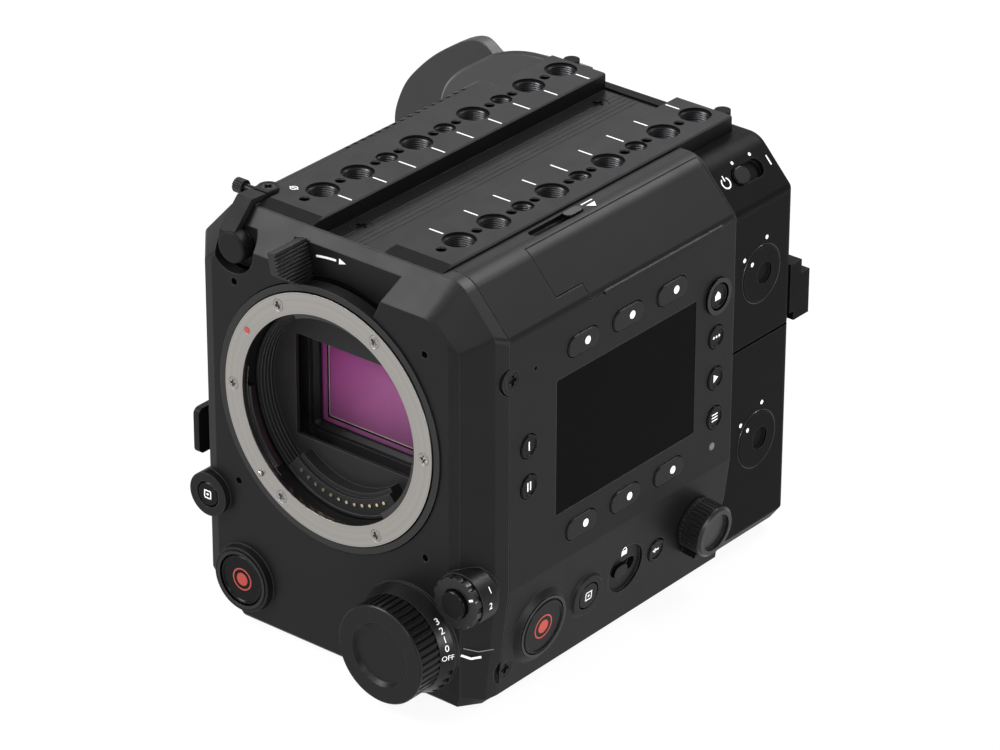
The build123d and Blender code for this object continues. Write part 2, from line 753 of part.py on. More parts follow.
# Side panels: wrapped sections of the body outline over the chassis, with ears at the front
base_plate_run = 12.0
base_plate_half_width = half_width - base_plate_run
panel_front_y = seam_y + seam
panel_inner = grown(chassis_half, seam)
panel_section = [(plate_half_width + seam, shoulder_top), *panel_half,
                 (base_plate_half_width + seam, bottom_z),
                 (base_plate_half_width + seam, chassis_bottom - seam), *reversed(panel_inner),
                 (plate_half_width + seam, plate_bottom)]
panel_section_radii = [0, *panel_radii, *[0] * (len(panel_inner) + 3)]
ear_front = ear_base_x + seam + fit


def side_panel(side):
    """A plain side panel as a private part; side is 1 for the right, -1 for the left."""
    plane = right_plane if side > 0 else left_plane
    with BuildPart(mode=Mode.PRIVATE) as panel:
        with BuildSketch(front_plane(panel_front_y)):
            with BuildLine():
                FilletPolyline(*[(side * x, z) for x, z in panel_section], radius=panel_section_radii,
                               close=True)
            make_face()
        extrude(amount=panel_front_y - rear_seam_y)
        for y, z in ear_places:
            with BuildSketch(plane(ear_front)):
                with Locations((side * y, z)):
                    Circle(ear_r)
            extrude(amount=(half_width if z > belt_z else strip_x) - ear_front)
    return panel.part


# Card door, a piece of the wrapped shoulder with its hinge below
door_front_y = 38.3
door_rear_y = 117.2
door_top_run = 0.1
door_low_drop = 0.75
door_notch_y = 50.0
door_notch_rise = 3.6
door_thick = 2.2
door_hinge_x = half_width
door_hinge_drop = 0.95
door_hinge_r = 0.6
door_hinge_gap = 0.3
door_hinge_ends = 6.0
door_top_x = shoulder_x - door_top_run
door_low_z = slope_z - door_low_drop
door_notch_z = slope_z + door_notch_rise
door_hinge_z = slope_z - door_hinge_drop


def door_shell(thick, margin, reach):
    """The door's wrapped shape as a private part, with a margin round it and a reach outward."""
    with BuildPart(mode=Mode.PRIVATE) as shell:
        with BuildSketch(front_plane(door_front_y - margin)):
            with BuildLine():
                FilletPolyline(*grown(panel_half, reach), *[(-x, z) for x, z in
                               reversed(grown(panel_half, reach))],
                               radius=[*panel_radii, *reversed(panel_radii)], close=True)
            make_face()
            with BuildLine():
                FilletPolyline(*grown(panel_half, -thick), *[(-x, z) for x, z in
                               reversed(grown(panel_half, -thick))],
                               radius=[*panel_radii, *reversed(panel_radii)], close=True)
            make_face(mode=Mode.SUBTRACT)
        extrude(amount=door_front_y - door_rear_y - 2 * margin)
        with BuildSketch(Plane.XY.offset(door_low_z - margin)):
            with Locations((door_top_x - margin + half_width, (door_front_y + door_rear_y) / 2)):
                Rectangle(2 * half_width, 2 * door_rear_y)
        extrude(amount=half_width, mode=Mode.INTERSECT)
        with BuildSketch(Plane.XY.offset(door_notch_z - margin)):
            with Locations((half_width, door_front_y)):
                Rectangle(half_width, 2 * (door_notch_y - door_front_y - margin))
        extrude(amount=-half_width, mode=Mode.SUBTRACT)
    return shell.part


door_blank = door_shell(door_thick, 0, 0)
door_pocket = door_shell(door_thick + seam, seam, cut)

with BuildPart() as card_door:
    add(door_blank)
    with BuildSketch(front_plane(door_notch_y + door_hinge_ends)):
        with Locations((door_hinge_x, door_hinge_z)):
            Circle(door_hinge_r)
    extrude(amount=door_notch_y + 2 * door_hinge_ends - door_rear_y)
save(card_door, "card_door")

# Controls of the right side, places as (y, z)
home_place = (109.8, 15.3)
user_place = (109.6, 1.9)
play_place = (109.6, -11.8)
menu_place = (109.7, -25.0)
lamp_place = (108.9, -34.5)
function_places = [(22.4, 1.8), (22.5, -11.2)]
mic_place = (25.3, 25.4)
key_first_y = 46.5
key_pitch = 20.55
key_columns = 3
upper_key_gap = 8.2
lower_key_gap = 7.85
record_drop = 18.8
grab_drop = 18.5
lock_drop = 17.8
back_drop = 17.9
jog_drop = 15.9
record_place = (30.7, belt_z - record_drop)
grab_place = (52.3, belt_z - grab_drop)
lock_place = (70.7, belt_z - lock_drop)
back_place = (85.3, belt_z - back_drop)
jog_place = (103.4, belt_z - jog_drop)
home_r = 4.1
round_r = 3.7
function_r = 3.7
lamp_r = 1.2
mic_r = 0.7
key_length = 14.0
key_width = 6.6
side_record_r = 8.8
side_record_foot_r = 12.3
side_record_top_r = 10.4
side_record_h = 1.3
side_grab_r = 4.3
side_grab_foot_r = 7.3
side_grab_h = 0.9
lock_dish_r = 8.0
lock_dish_depth = 1.0
lock_slot_length = 11.0
lock_slot_width = 4.4
lock_slide_length = 6.0
lock_slide_h = 2.2
back_r = 3.7
jog_r = 8.2
jog_h = 8.6
jog_guard_gap = 0.6
jog_guard_wall = 1.5
jog_guard_h = 5.0
jog_guard_start = -114.0
jog_guard_end = -6.0
side_pocket = 4.2
display_front_y = 34.95
display_rear_y = 99.55
display_low_rise = 16.25
display_top_drop = 20.9
display_low_z = belt_z + display_low_rise
display_top_z = slope_z - display_top_drop
display_corner_r = 0.8
display_depth = 2.2
display_thick = 1.8
display_sunk = 0.2
cover_head_r = 2.7
cover_head_h = 1.4
cover_shank_r = 1.3
cover_shank_length = 4.4
eject_y = 56.5
eject_run = 4.0
eject_x = shoulder_x - eject_run
eject_length = 23.0
eject_width = 3.7
eject_depth = 1.8
eject_slide_length = 7.0
eject_slide_proud = 0.5
home_ring_outer_r = 5.8
home_ring_h = 0.8
key_zs = (display_top_z + upper_key_gap, display_low_z - lower_key_gap)
key_places = [(key_first_y + i * key_pitch, z) for z in key_zs for i in range(key_columns)]
display_y = (display_front_y + display_rear_y) / 2
display_z = (display_low_z + display_top_z) / 2
side_rounds = [(home_place, home_r), (user_place, round_r), (play_place, round_r),
               (menu_place, round_r), (function_places[0], function_r), (function_places[1], function_r)]

right_blank = side_panel(1)
left_blank = side_panel(-1)

with BuildPart() as right_side_panel:
    add(right_blank)
    add(door_pocket, mode=Mode.SUBTRACT)
    with BuildSketch(front_plane(door_notch_y + door_hinge_ends - seam)):
        with Locations((door_hinge_x, door_hinge_z)):
            Circle(door_hinge_r + door_hinge_gap)
    extrude(amount=door_notch_y + 2 * door_hinge_ends - door_rear_y - 2 * seam, mode=Mode.SUBTRACT)
    with BuildSketch(right_plane(half_width)):
        with Locations((display_y, display_z)):
            RectangleRounded(display_rear_y - display_front_y + seam, display_top_z - display_low_z + seam,
                             display_corner_r)
    extrude(amount=-display_depth, mode=Mode.SUBTRACT)
    with BuildSketch(right_plane(half_width)):
        for place, r in side_rounds:
            with Locations(place):
                Circle(r + seam)
        with Locations(*key_places):
            SlotOverall(key_length + 2 * seam, key_width + 2 * seam)
    extrude(amount=-side_pocket, mode=Mode.SUBTRACT)
    with BuildSketch(right_plane(half_width)):
        with Locations(lamp_place):
            Circle(lamp_r + fit)
        with Locations(mic_place):
            Circle(mic_r)
    extrude(amount=-display_depth, mode=Mode.SUBTRACT)
    with BuildSketch(right_plane(half_width)):
        with Locations(home_place):
            Circle(home_ring_outer_r + fit)
    extrude(amount=-home_ring_h, mode=Mode.SUBTRACT)
    # raised seats of the lower strip
    with BuildSketch(strip_plane(record_place)):
        Circle(side_record_foot_r)
    with BuildSketch(strip_plane(record_place).offset(side_record_h)):
        Circle(side_record_top_r)
    loft()
    with BuildSketch(strip_plane(grab_place)):
        Circle(side_grab_foot_r)
    with BuildSketch(strip_plane(grab_place).offset(side_grab_h)):
        Circle(side_grab_foot_r - side_grab_h)
    loft()
    with BuildSketch(strip_plane(jog_place)):
        arc_ring(jog_r + jog_guard_gap, jog_r + jog_guard_gap + jog_guard_wall, jog_guard_start, jog_guard_end)
    extrude(amount=jog_guard_h)
    with Locations(strip_plane(record_place).offset(side_record_h)):
        CounterBoreHole(side_record_r + seam, side_ring_outer_r + fit / 2, ring_seat, side_pocket)
    with Locations(strip_plane(grab_place).offset(side_grab_h)):
        Hole(side_grab_r + seam, side_pocket)
    with Locations(strip_plane(back_place)):
        Hole(back_r + seam, side_pocket)
    with Locations(strip_plane(lock_place)):
        Hole(lock_dish_r, lock_dish_depth)
    with BuildSketch(strip_plane(lock_place).offset(-lock_dish_depth)):
        SlotOverall(lock_slot_length, lock_slot_width)
    extrude(amount=-lock_slide_h, mode=Mode.SUBTRACT)
    with Locations(strip_plane(jog_place)):
        Hole(cover_shank_r + running, side_pocket)
    for y, z in ear_places:
        with Locations(right_plane(half_width, y, z) if z > belt_z else strip_plane((y, z))):
            CounterBoreHole(cover_shank_r + fit, cover_head_r + fit, cover_head_h, side_pocket + cut)
    with BuildSketch(Plane.XY.offset(shoulder_top)):
        with Locations((eject_x, eject_y)):
            SlotOverall(eject_length, eject_width, rotation=90)
    extrude(amount=-eject_depth, mode=Mode.SUBTRACT)
save(right_side_panel, "right_side_panel")

with BuildPart() as display_glass:
    with BuildSketch(right_plane(half_width - display_sunk)):
        with Locations((display_y, display_z)):
            RectangleRounded(display_rear_y - display_front_y - fit, display_top_z - display_low_z - fit,
                             display_corner_r)
    extrude(amount=-display_thick)
save(display_glass, "display_glass")

with BuildPart() as status_lamp:
    with Locations(right_plane(half_width, *lamp_place)):
        Cylinder(lamp_r, display_thick, align=(Align.CENTER, Align.CENTER, Align.MAX))
save(status_lamp, "status_lamp")

# Buttons: a cap that stands a little proud of its place and reaches into its pocket
button_proud = 0.5
cap_depth = 3.3
button_edge = 0.35


def round_button(name, plane, r, proud, dish):
    """Writes a round button: cap radius, height above the plane and depth of its dish."""
    with BuildPart() as button:
        with Locations(plane.offset(proud)):
            Cylinder(r, cap_depth, align=(Align.CENTER, Align.CENTER, Align.MAX))
        rim = button.faces().sort_by(SortBy.DISTANCE, reverse=True)
        top = min(rim, key=lambda face: (face.center() - plane.offset(proud).origin).length)
        chamfer(top.edges(), length=button_edge)
        if dish:
            with Locations(plane.offset(proud)):
                Cone(r - 3 * button_edge, r - 2 * button_edge, dish,
                     align=(Align.CENTER, Align.CENTER, Align.MAX), mode=Mode.SUBTRACT)
    save(button, name)


dish_depth = 0.4
round_button("home_button", right_plane(half_width, *home_place), home_r, button_proud, dish_depth)
round_button("user_button", right_plane(half_width, *user_place), round_r, button_proud, dish_depth)
round_button("play_button", right_plane(half_width, *play_place), round_r, button_proud, dish_depth)
round_button("menu_button", right_plane(half_width, *menu_place), round_r, button_proud, dish_depth)
for i, place in enumerate(function_places):
    round_button(f"function_button_{i + 1}", right_plane(half_width, *place), function_r, button_proud,
                 dish_depth)
round_button("side_record_button", strip_plane(record_place).offset(side_record_h), side_record_r,
             button_proud, dish_depth)
round_button("side_grab_button", strip_plane(grab_place).offset(side_grab_h), side_grab_r, 0, 0)
round_button("back_button", strip_plane(back_place), back_r, button_proud, dish_depth)
round_button("front_record_button", front_at(record_x, record_seat_y, record_z), record_button_r, 0,
             dish_depth)
round_button("left_grab_button", front_at(grab_x, grab_seat_y, grab_z), grab_button_r, 0, 0)

for i, place in enumerate(key_places):
    with BuildPart() as soft_key:
        with BuildSketch(right_plane(half_width + button_proud, *place)):
            SlotOverall(key_length, key_width)
        extrude(amount=-cap_depth)
        chamfer(soft_key.faces().sort_by(Axis.X)[-1].edges(), length=button_edge)
    save(soft_key, f"soft_key_{i + 1}")

with BuildPart() as lock_slide:
    with BuildSketch(strip_plane(lock_place).offset(-lock_dish_depth + lock_slide_h / 2)):
        with Locations((-(lock_slot_length - lock_slide_length) / 2 + seam, 0)):
            SlotOverall(lock_slide_length, lock_slot_width - 2 * seam)
    extrude(amount=-lock_slide_h)
save(lock_slide, "lock_slide")

with BuildPart() as eject_slider:
    with BuildSketch(Plane.XY.offset(shoulder_top + eject_slide_proud)):
        with Locations((eject_x, eject_y + (eject_length - eject_slide_length) / 2 - seam)):
            SlotOverall(eject_slide_length, eject_width - 2 * seam, rotation=90)
    extrude(amount=-eject_depth)
save(eject_slider, "eject_slider")

jog_rim = 1.3
jog_edge = 0.8
jog_dish = 1.2
jog_flutes = 36
jog_flute_r = 0.3
jog_stem_length = 3.6
with BuildPart() as jog_dial:
    with Locations(strip_plane(jog_place).offset(seam)):
        Cylinder(jog_r, jog_h - seam, align=(Align.CENTER, Align.CENTER, Align.MIN))
        Cylinder(cover_shank_r, 2 * jog_stem_length)
    chamfer(jog_dial.faces().sort_by(Axis.X)[-1].edges(), length=jog_edge)
    with Locations(strip_plane(jog_place).offset(jog_h)):
        Cylinder(jog_r - jog_edge - jog_rim, jog_dish, align=(Align.CENTER, Align.CENTER, Align.MAX),
                 mode=Mode.SUBTRACT)
    with BuildSketch(strip_plane(jog_place).offset(jog_h - jog_rim)):
        with PolarLocations(jog_r, jog_flutes):
            Circle(jog_flute_r)
    extrude(amount=-(jog_h - 2 * jog_rim), mode=Mode.SUBTRACT)
save(jog_dial, "jog_dial")

# Left side panel: vents in the shoulder, a well of sockets behind the terminal door
vent_count = 16
vent_first_y = 56.5
vent_last_y = 109.5
vent_run = 0.3
vent_x = shoulder_x + vent_run
vent_length = 4.6
vent_width = 1.6
vent_depth = 3.0
well_front_y = 22.0
well_rear_y = 70.0
well_low_z = -38.5
well_top_z = -12.5
well_depth = 3.6
socket_r = 3.2
socket_count = 4
terminal_door_thick = 2.4
hook_y = 25.7
hook_drop = 5.8
hook_proud = 0.4
hook_z = shoulder_top - hook_drop
hook_head_x = half_width + hook_proud
hook_head_r = 2.3
hook_head_h = 3.4
hook_stud_r = 1.3
hook_depth = 3.4
hook_knurls = 20
hook_knurl_r = 0.25
strap_screw_run = 3.8
strap_screw_x = shoulder_x - strap_screw_run
strap_screw_y = 18.9
hook_surface_x = shoulder_x + (shoulder_top - hook_z) * (half_width - shoulder_x) / (shoulder_top - slope_z)
vent_pitch = (vent_last_y - vent_first_y) / (vent_count - 1)
well_y = (well_front_y + well_rear_y) / 2
well_z = (well_low_z + well_top_z) / 2
socket_pitch = (well_rear_y - well_front_y) / socket_count

with BuildPart() as left_side_panel:
    add(left_blank)
    with BuildSketch(Plane.XY.offset(shoulder_top)):
        with Locations((-vent_x, (vent_first_y + vent_last_y) / 2)):
            with GridLocations(0, vent_pitch, 1, vent_count):
                Rectangle(vent_length, vent_width)
    extrude(amount=-vent_depth, mode=Mode.SUBTRACT)
    with BuildSketch(left_plane(half_width)):
        with Locations((-well_y, well_z)):
            RectangleRounded(well_rear_y - well_front_y, well_top_z - well_low_z, display_corner_r)
    extrude(amount=-well_depth, mode=Mode.SUBTRACT)
    with BuildSketch(left_plane(half_width - well_depth)):
        with Locations((-well_y, well_z)):
            with GridLocations(socket_pitch, 0, socket_count, 1):
                Circle(socket_r)
    extrude(amount=-(half_width - chassis_half_width), mode=Mode.SUBTRACT)
    with Locations(left_plane(hook_surface_x, hook_y, hook_z)):
        Hole(hook_stud_r + fit, hook_depth + fit)
    with Locations(Plane.XY.offset(shoulder_top) * Location((-strap_screw_x, strap_screw_y, 0))):
        Hole(cover_shank_r + fit, cover_shank_length)
    for y, z in ear_places:
        lower = strip_plane((y, z))
        left_lower = Plane(origin=(-lower.origin.X, y, z), x_dir=(0, -1, 0),
                           z_dir=(-lower.z_dir.X, 0, lower.z_dir.Z))
        with Locations(left_plane(half_width, y, z) if z > belt_z else left_lower):
            CounterBoreHole(cover_shank_r + fit, cover_head_r + fit, cover_head_h, side_pocket + cut)
save(left_side_panel, "left_side_panel")

with BuildPart() as tape_hook:
    with Locations(left_plane(hook_head_x, hook_y, hook_z)):
        Cylinder(hook_head_r, hook_head_h, align=(Align.CENTER, Align.CENTER, Align.MAX))
        Cylinder(hook_stud_r, hook_head_x - hook_surface_x + hook_depth,
                 align=(Align.CENTER, Align.CENTER, Align.MAX))
    with BuildSketch(left_plane(hook_head_x, hook_y, hook_z)):
        with PolarLocations(hook_head_r, hook_knurls):
            Circle(hook_knurl_r)
    extrude(amount=-hook_head_h, mode=Mode.SUBTRACT)
save(tape_hook, "tape_hook")

# Terminal door over the well, hinged at its rear edge, with a thumb tab over the front seam
tab_low_z = -33.5
tab_top_z = -18.6
tab_front_y_end = 6.6
door_skin_x = half_width + seam
barrel_r = (terminal_door_thick - seam) / 2
barrel_x = door_skin_x + barrel_r
barrel_y = well_rear_y + cut
with BuildPart() as terminal_door:
    with BuildSketch(left_plane(door_skin_x)):
        with Locations((-(well_y), well_z)):
            RectangleRounded(well_rear_y - well_front_y + 2 * cut, well_top_z - well_low_z + 2 * cut, cut)
    extrude(amount=terminal_door_thick - seam)
    with BuildSketch(left_plane(door_skin_x)):
        with Locations((-(tab_front_y_end + well_front_y) / 2, (tab_low_z + tab_top_z) / 2)):
            RectangleRounded(well_front_y - tab_front_y_end, tab_top_z - tab_low_z, cut)
    extrude(amount=terminal_door_thick - seam)
    with BuildSketch(Plane.XY.offset(well_low_z)):
        with Locations((-barrel_x, barrel_y)):
            Circle(barrel_r)
    extrude(amount=well_top_z - well_low_z)
save(terminal_door, "terminal_door")

# Terminal ring in the hood and its rubber cap, held by a strap under a screw
with BuildPart() as sync_terminal:
    with BuildSketch(front_at(terminal_x, terminal_y, terminal_z)):
        Circle(terminal_r)
        Circle(terminal_bore_r, mode=Mode.SUBTRACT)
    extrude(amount=-terminal_depth)
    with BuildSketch(front_at(terminal_x, terminal_y + terminal_depth, terminal_z)):
        Circle(terminal_r)
    extrude(amount=terminal_r - terminal_bore_r)
save(sync_terminal, "sync_terminal")

rubber_cap_r = 4.95
cap_front_y = 0.3
cap_rear_y = terminal_y - seam
strap_width = 5.6
strap_thick = 1.7
strap_base_z = shoulder_top + seam / 2
strap_gap = 0.5
strap_low_rise = 2.2
strap_head_r = 3.2
anchor_screw_r = 2.2
anchor_sink = 1.0
strap_start_y = 15.2
strap_turn_y = strap_start_y - strap_thick / 2
hood_rise = (rail_top - face_top) / (plate_front_y - front_y)
strap_low_y = front_y + strap_low_rise / hood_rise - strap_gap
strap_low_z = face_top + strap_low_rise
strap_high_z = shoulder_top + strap_gap
strap_high_y = front_y + (strap_high_z - strap_gap - face_top) / hood_rise
with BuildPart() as terminal_cap:
    with BuildSketch(front_at(terminal_x, cap_front_y, terminal_z)):
        Circle(rubber_cap_r)
    extrude(amount=cap_front_y - cap_rear_y)
    fillet(terminal_cap.edges().sort_by(Axis.Y)[0], radius=strap_thick / 2)
    with BuildSketch(right_plane(-strap_screw_x - strap_width / 2)):
        with BuildLine():
            Polyline((strap_turn_y, strap_base_z), (strap_high_y, strap_high_z),
                     (strap_low_y, strap_low_z), (strap_low_y - strap_thick, strap_low_z),
                     (strap_low_y - strap_thick, strap_low_z + strap_thick),
                     (strap_high_y - strap_thick / 2, strap_high_z + strap_thick),
                     (strap_turn_y, strap_base_z + strap_thick), close=True)
        make_face()
        with Locations((strap_turn_y, strap_base_z + strap_thick / 2)):
            Circle(strap_thick / 2)
    extrude(amount=strap_width)
save(terminal_cap, "terminal_cap")

with BuildPart() as strap_anchor:
    with BuildSketch(Plane.XY.offset(strap_base_z)):
        with Locations((-strap_screw_x, strap_screw_y)):
            Rectangle(strap_width, 2 * (strap_screw_y - strap_start_y - seam))
            with Locations((0, strap_screw_y)):
                Rectangle(strap_width, 2 * strap_screw_y, mode=Mode.SUBTRACT)
            Circle(strap_head_r)
    extrude(amount=strap_thick)
    with Locations(Plane.XY.offset(strap_base_z + strap_thick) * Location((-strap_screw_x, strap_screw_y, 0))):
        CounterBoreHole(cover_shank_r + seam, anchor_screw_r + fit, anchor_sink)
save(strap_anchor, "strap_anchor")

# Rear housing behind the panels: bays behind two doors, power switch on its slope
door_skin = 3.0
upper_low_z = -8.7
lower_top_z = -9.6
upper_top_drop = 1.5
lower_low_rise = 0.3
hinge_inset = 3.2
hinge_r = 1.7
bay_run = 8.0
bay_low_rise = 4.0
bay_top_drop = 3.3
bay_front_y = 120.8
doors_front_y = rear_seam_y + 2 * seam
upper_top_z = rear_slope_z - upper_top_drop
lower_low_z = rear_low_z + lower_low_rise
hinge_x = rear_half_width - hinge_inset
hinge_y = rear_y - hinge_r
bay_half_width = rear_half_width - bay_run
bay_low_z = lower_low_z + bay_low_rise
bay_top_z = upper_top_z - bay_top_drop
shelf_z = -9.2
shelf_half = 1.5
switch_y = 134.7
switch_drop = 6.4
switch_z = rear_top - switch_drop
switch_slot_length = 14.5
switch_slot_width = 6.0
switch_depth = 1.8
switch_length = 7.0
switch_proud = 1.0
boss_x = 28.7
boss_y = 146.7
boss_r = 2.5
boss_drop = 0.8
boss_top = rail_top - boss_drop
rear_inner_x = rear_half_width - door_skin - seam
rear_inner_y = rear_y - door_skin - seam


def switch_plane(y, z):
    """Plane on the rear housing's sloping shoulder."""
    return lean_plane(rear_half[0], rear_half[1], y, z)


with BuildPart() as rear_housing:
    with BuildSketch(front_plane(rear_seam_y + seam)):
        outline(rear_half, rear_radii)
    extrude(amount=rear_seam_y + seam - rear_y)
    fillet(rear_housing.faces().sort_by(Axis.Y)[-1].edges(), radius=rear_edge_r)
    # room for the doors' side and rear skins
    with BuildSketch(Plane.XY.offset(lower_low_z - seam)):
        with Locations((rear_inner_x + half_width, rear_y)):
            Rectangle(2 * half_width, 2 * rear_y)
        with Locations(((rear_inner_x - hinge_x) / 2, rear_inner_y + rear_y)):
            Rectangle(rear_inner_x + hinge_x, 2 * rear_y)
        with Locations((-hinge_x, hinge_y)):
            Circle(hinge_r + seam)
        with Locations((-hinge_x, hinge_y + rear_y)):
            Rectangle(2 * (hinge_r + seam), 2 * rear_y)
    extrude(amount=upper_top_z - lower_low_z + 2 * seam, mode=Mode.SUBTRACT)
    with BuildSketch(front_plane(rear_y)):
        with Locations((0, (bay_low_z + bay_top_z) / 2)):
            Rectangle(2 * bay_half_width, bay_top_z - bay_low_z)
        with Locations((0, shelf_z)):
            Rectangle(2 * bay_half_width, 2 * shelf_half, mode=Mode.SUBTRACT)
    extrude(amount=rear_y - bay_front_y, mode=Mode.SUBTRACT)
    # seat of the top plate and the power switch's slot
    with BuildSketch(Plane.XY.offset(chassis_top)):
        with Locations((0, plate_rear_y / 2)):
            Rectangle(2 * (plate_half_width + seam), plate_rear_y + 2 * seam)
    extrude(amount=rail_top, mode=Mode.SUBTRACT)
    with BuildSketch(switch_plane(switch_y, switch_z)):
        SlotOverall(switch_slot_length, switch_slot_width)
    extrude(amount=-switch_depth, mode=Mode.SUBTRACT)
    with BuildSketch(Plane.XY.offset(rear_top - seam)):
        for side in (-1, 1):
            with Locations((side * boss_x, boss_y)):
                Circle(boss_r)
    extrude(amount=boss_top - rear_top + seam)
save(rear_housing, "rear_housing")

with BuildPart() as power_switch:
    with BuildSketch(switch_plane(switch_y, switch_z).offset(switch_proud)):
        with Locations((-(switch_slot_length - switch_length) / 2 + seam, 0)):
            SlotOverall(switch_length, switch_slot_width - 2 * seam)
    extrude(amount=-(switch_proud + switch_depth - seam))
    chamfer(power_switch.faces().sort_by(Axis.X)[-1].edges().sort_by(Axis.X)[-1:], length=button_edge)
save(power_switch, "power_switch")

# Rear doors: each wraps from the right side round the rear to a hinge at the left rear edge
knob_r = 9.1
knob_y = 133.8
upper_knob_z = 12.7
lower_knob_z = -43.0
knob_sunk = 1.2
knob_thick = 1.6
knob_dent_r = 3.6
knob_dent_y = 1.2
knob_dent_depth = 0.9
pull_width = 9.0
pull_reach = 9.2
pull_gap = 1.7
pull_ear = 3.4
pull_web_z = -6.5
pull_low_z = -9.6
pull_mid_z = 5.0
pull_top_z = 9.6


def rear_door(low_z, top_z, knob_z):
    """One rear door as a private part."""
    with BuildPart(mode=Mode.PRIVATE) as door:
        with BuildSketch(Plane.XY.offset(low_z)):
            with BuildLine():
                Polyline((rear_half_width, doors_front_y), (rear_half_width, rear_y),
                         (-hinge_x, rear_y), (-hinge_x, rear_y - 2 * hinge_r + fit),
                         (hinge_r - hinge_x, rear_inner_y + seam),
                         (rear_inner_x + seam, rear_inner_y + seam), (rear_inner_x + seam, doors_front_y),
                         close=True)
            make_face()
            with Locations((-hinge_x, hinge_y)):
                Circle(hinge_r)
        extrude(amount=top_z - low_z)
        corner = door.edges().filter_by(Axis.Z).sort_by_distance((rear_half_width, rear_y, low_z))[0]
        fillet(corner, radius=rear_edge_r)
        with Locations(right_plane(rear_half_width, knob_y, knob_z)):
            Hole(knob_r + seam, knob_sunk)
    return door.part


upper_blank = rear_door(upper_low_z, upper_top_z, upper_knob_z)
lower_blank = rear_door(lower_low_z, lower_top_z, lower_knob_z)

with BuildPart() as upper_door:
    add(upper_blank)
    with BuildSketch(right_plane(rear_half_width)):
        with BuildLine():
            Polyline((rear_y - seam, pull_web_z), (rear_y + pull_gap, pull_web_z),
                     (rear_y + pull_gap, pull_low_z), (rear_y + pull_reach, pull_low_z),
                     (rear_y + pull_reach, pull_mid_z), (rear_y + pull_gap + pull_ear, pull_mid_z),
                     (rear_y + pull_gap + pull_ear, pull_top_z), (rear_y - seam, pull_top_z), close=True)
        make_face()
    extrude(amount=-pull_width)
save(upper_door, "upper_door")

with BuildPart() as lower_door:
    add(lower_blank)
save(lower_door, "lower_door")

for name, z in (("upper_door_knob", upper_knob_z), ("lower_door_knob", lower_knob_z)):
    with BuildPart() as knob:
        with Locations(right_plane(rear_half_width - knob_sunk + knob_thick, knob_y, z)):
            Cylinder(knob_r, knob_thick, align=(Align.CENTER, Align.CENTER, Align.MAX))
        chamfer(knob.faces().sort_by(Axis.X)[-1].edges(), length=button_edge)
        with BuildSketch(right_plane(rear_half_width - knob_sunk + knob_thick, knob_y, z)):
            with Locations((knob_dent_y, 0)):
                Circle(knob_dent_r)
        extrude(amount=-knob_dent_depth, mode=Mode.SUBTRACT)
    save(knob, name)

# Base plate with tripod threads
base_hole_r = 4.4
base_small_r = 2.9
base_hole_depth = 4.0
base_hole_ys = [50.0, 83.0]
base_small_x = 14.0
with BuildPart() as base_plate:
    with BuildSketch(Plane.XY.offset(bottom_z)):
        with Locations((0, (panel_front_y + chassis_rear_y) / 2)):
            Rectangle(2 * base_plate_half_width, chassis_rear_y - panel_front_y)
    extrude(amount=chassis_bottom - seam - bottom_z)
    with Locations(*[Plane(origin=(0, y, bottom_z), z_dir=(0, 0, -1)) for y in base_hole_ys]):
        Hole(base_hole_r, base_hole_depth)
    with Locations(*[Plane(origin=(side * base_small_x, y, bottom_z), z_dir=(0, 0, -1))
                     for side in (-1, 1) for y in base_hole_ys]):
        Hole(base_small_r, base_hole_depth)
save(base_plate, "base_plate")

# Filter dial and the tapered mode ring behind it, both on the post of the front housing
dial_r = 15.5
dial_rear_y = -4.5
dial_ribs = 44
dial_rib_r = 0.6
dial_plain = 0.9
dial_recess_r = 10.2
dial_recess_low_r = 9.0
dial_recess = 1.1
mode_ring_front_y = -4.2
mode_ring_rear_y = -0.1
mode_ring_grips = 5
mode_ring_grip_r = 0.6
mode_ring_grip_start = -62.0
mode_ring_grip_pitch = 11.0
with BuildPart() as nd_dial:
    with BuildSketch(front_at(filter_x, filter_front_y, filter_z)):
        Circle(dial_r)
    extrude(amount=filter_front_y - dial_rear_y)
    chamfer(nd_dial.faces().sort_by(Axis.Y)[0].edges(), length=button_edge)
    with Locations(front_at(filter_x, filter_front_y, filter_z)):
        Cone(dial_recess_low_r, dial_recess_r, dial_recess, align=(Align.CENTER, Align.CENTER, Align.MAX),
             mode=Mode.SUBTRACT)
    with BuildSketch(front_at(filter_x, filter_front_y + dial_plain, filter_z)):
        with PolarLocations(dial_r, dial_ribs):
            Circle(dial_rib_r)
    extrude(amount=filter_front_y - dial_rear_y, mode=Mode.SUBTRACT)
    with BuildSketch(front_at(filter_x, dial_rear_y, filter_z)):
        Circle(filter_post_r + fit)
    extrude(amount=dial_rear_y - filter_front_y - filter_post_short + seam, mode=Mode.SUBTRACT)
save(nd_dial, "nd_dial")

with BuildPart() as nd_mode_ring:
    with BuildSketch(front_at(filter_x, mode_ring_front_y, filter_z)):
        Circle(dial_r)
    with BuildSketch(front_at(filter_x, mode_ring_rear_y, filter_z)):
        Circle(filter_seat_r)
    loft()
    with BuildSketch(front_at(filter_x, mode_ring_front_y, filter_z)):
        with PolarLocations(filter_seat_r + mode_ring_grip_r / 2, mode_ring_grips, mode_ring_grip_start,
                            mode_ring_grips * mode_ring_grip_pitch):
            Circle(2 * mode_ring_grip_r)
    extrude(amount=mode_ring_front_y - mode_ring_rear_y, mode=Mode.SUBTRACT)
    with BuildSketch(front_at(filter_x, mode_ring_rear_y, filter_z)):
        Circle(filter_post_r + fit)
    extrude(amount=mode_ring_rear_y - mode_ring_front_y + cut, mode=Mode.SUBTRACT)
save(nd_mode_ring, "nd_mode_ring")

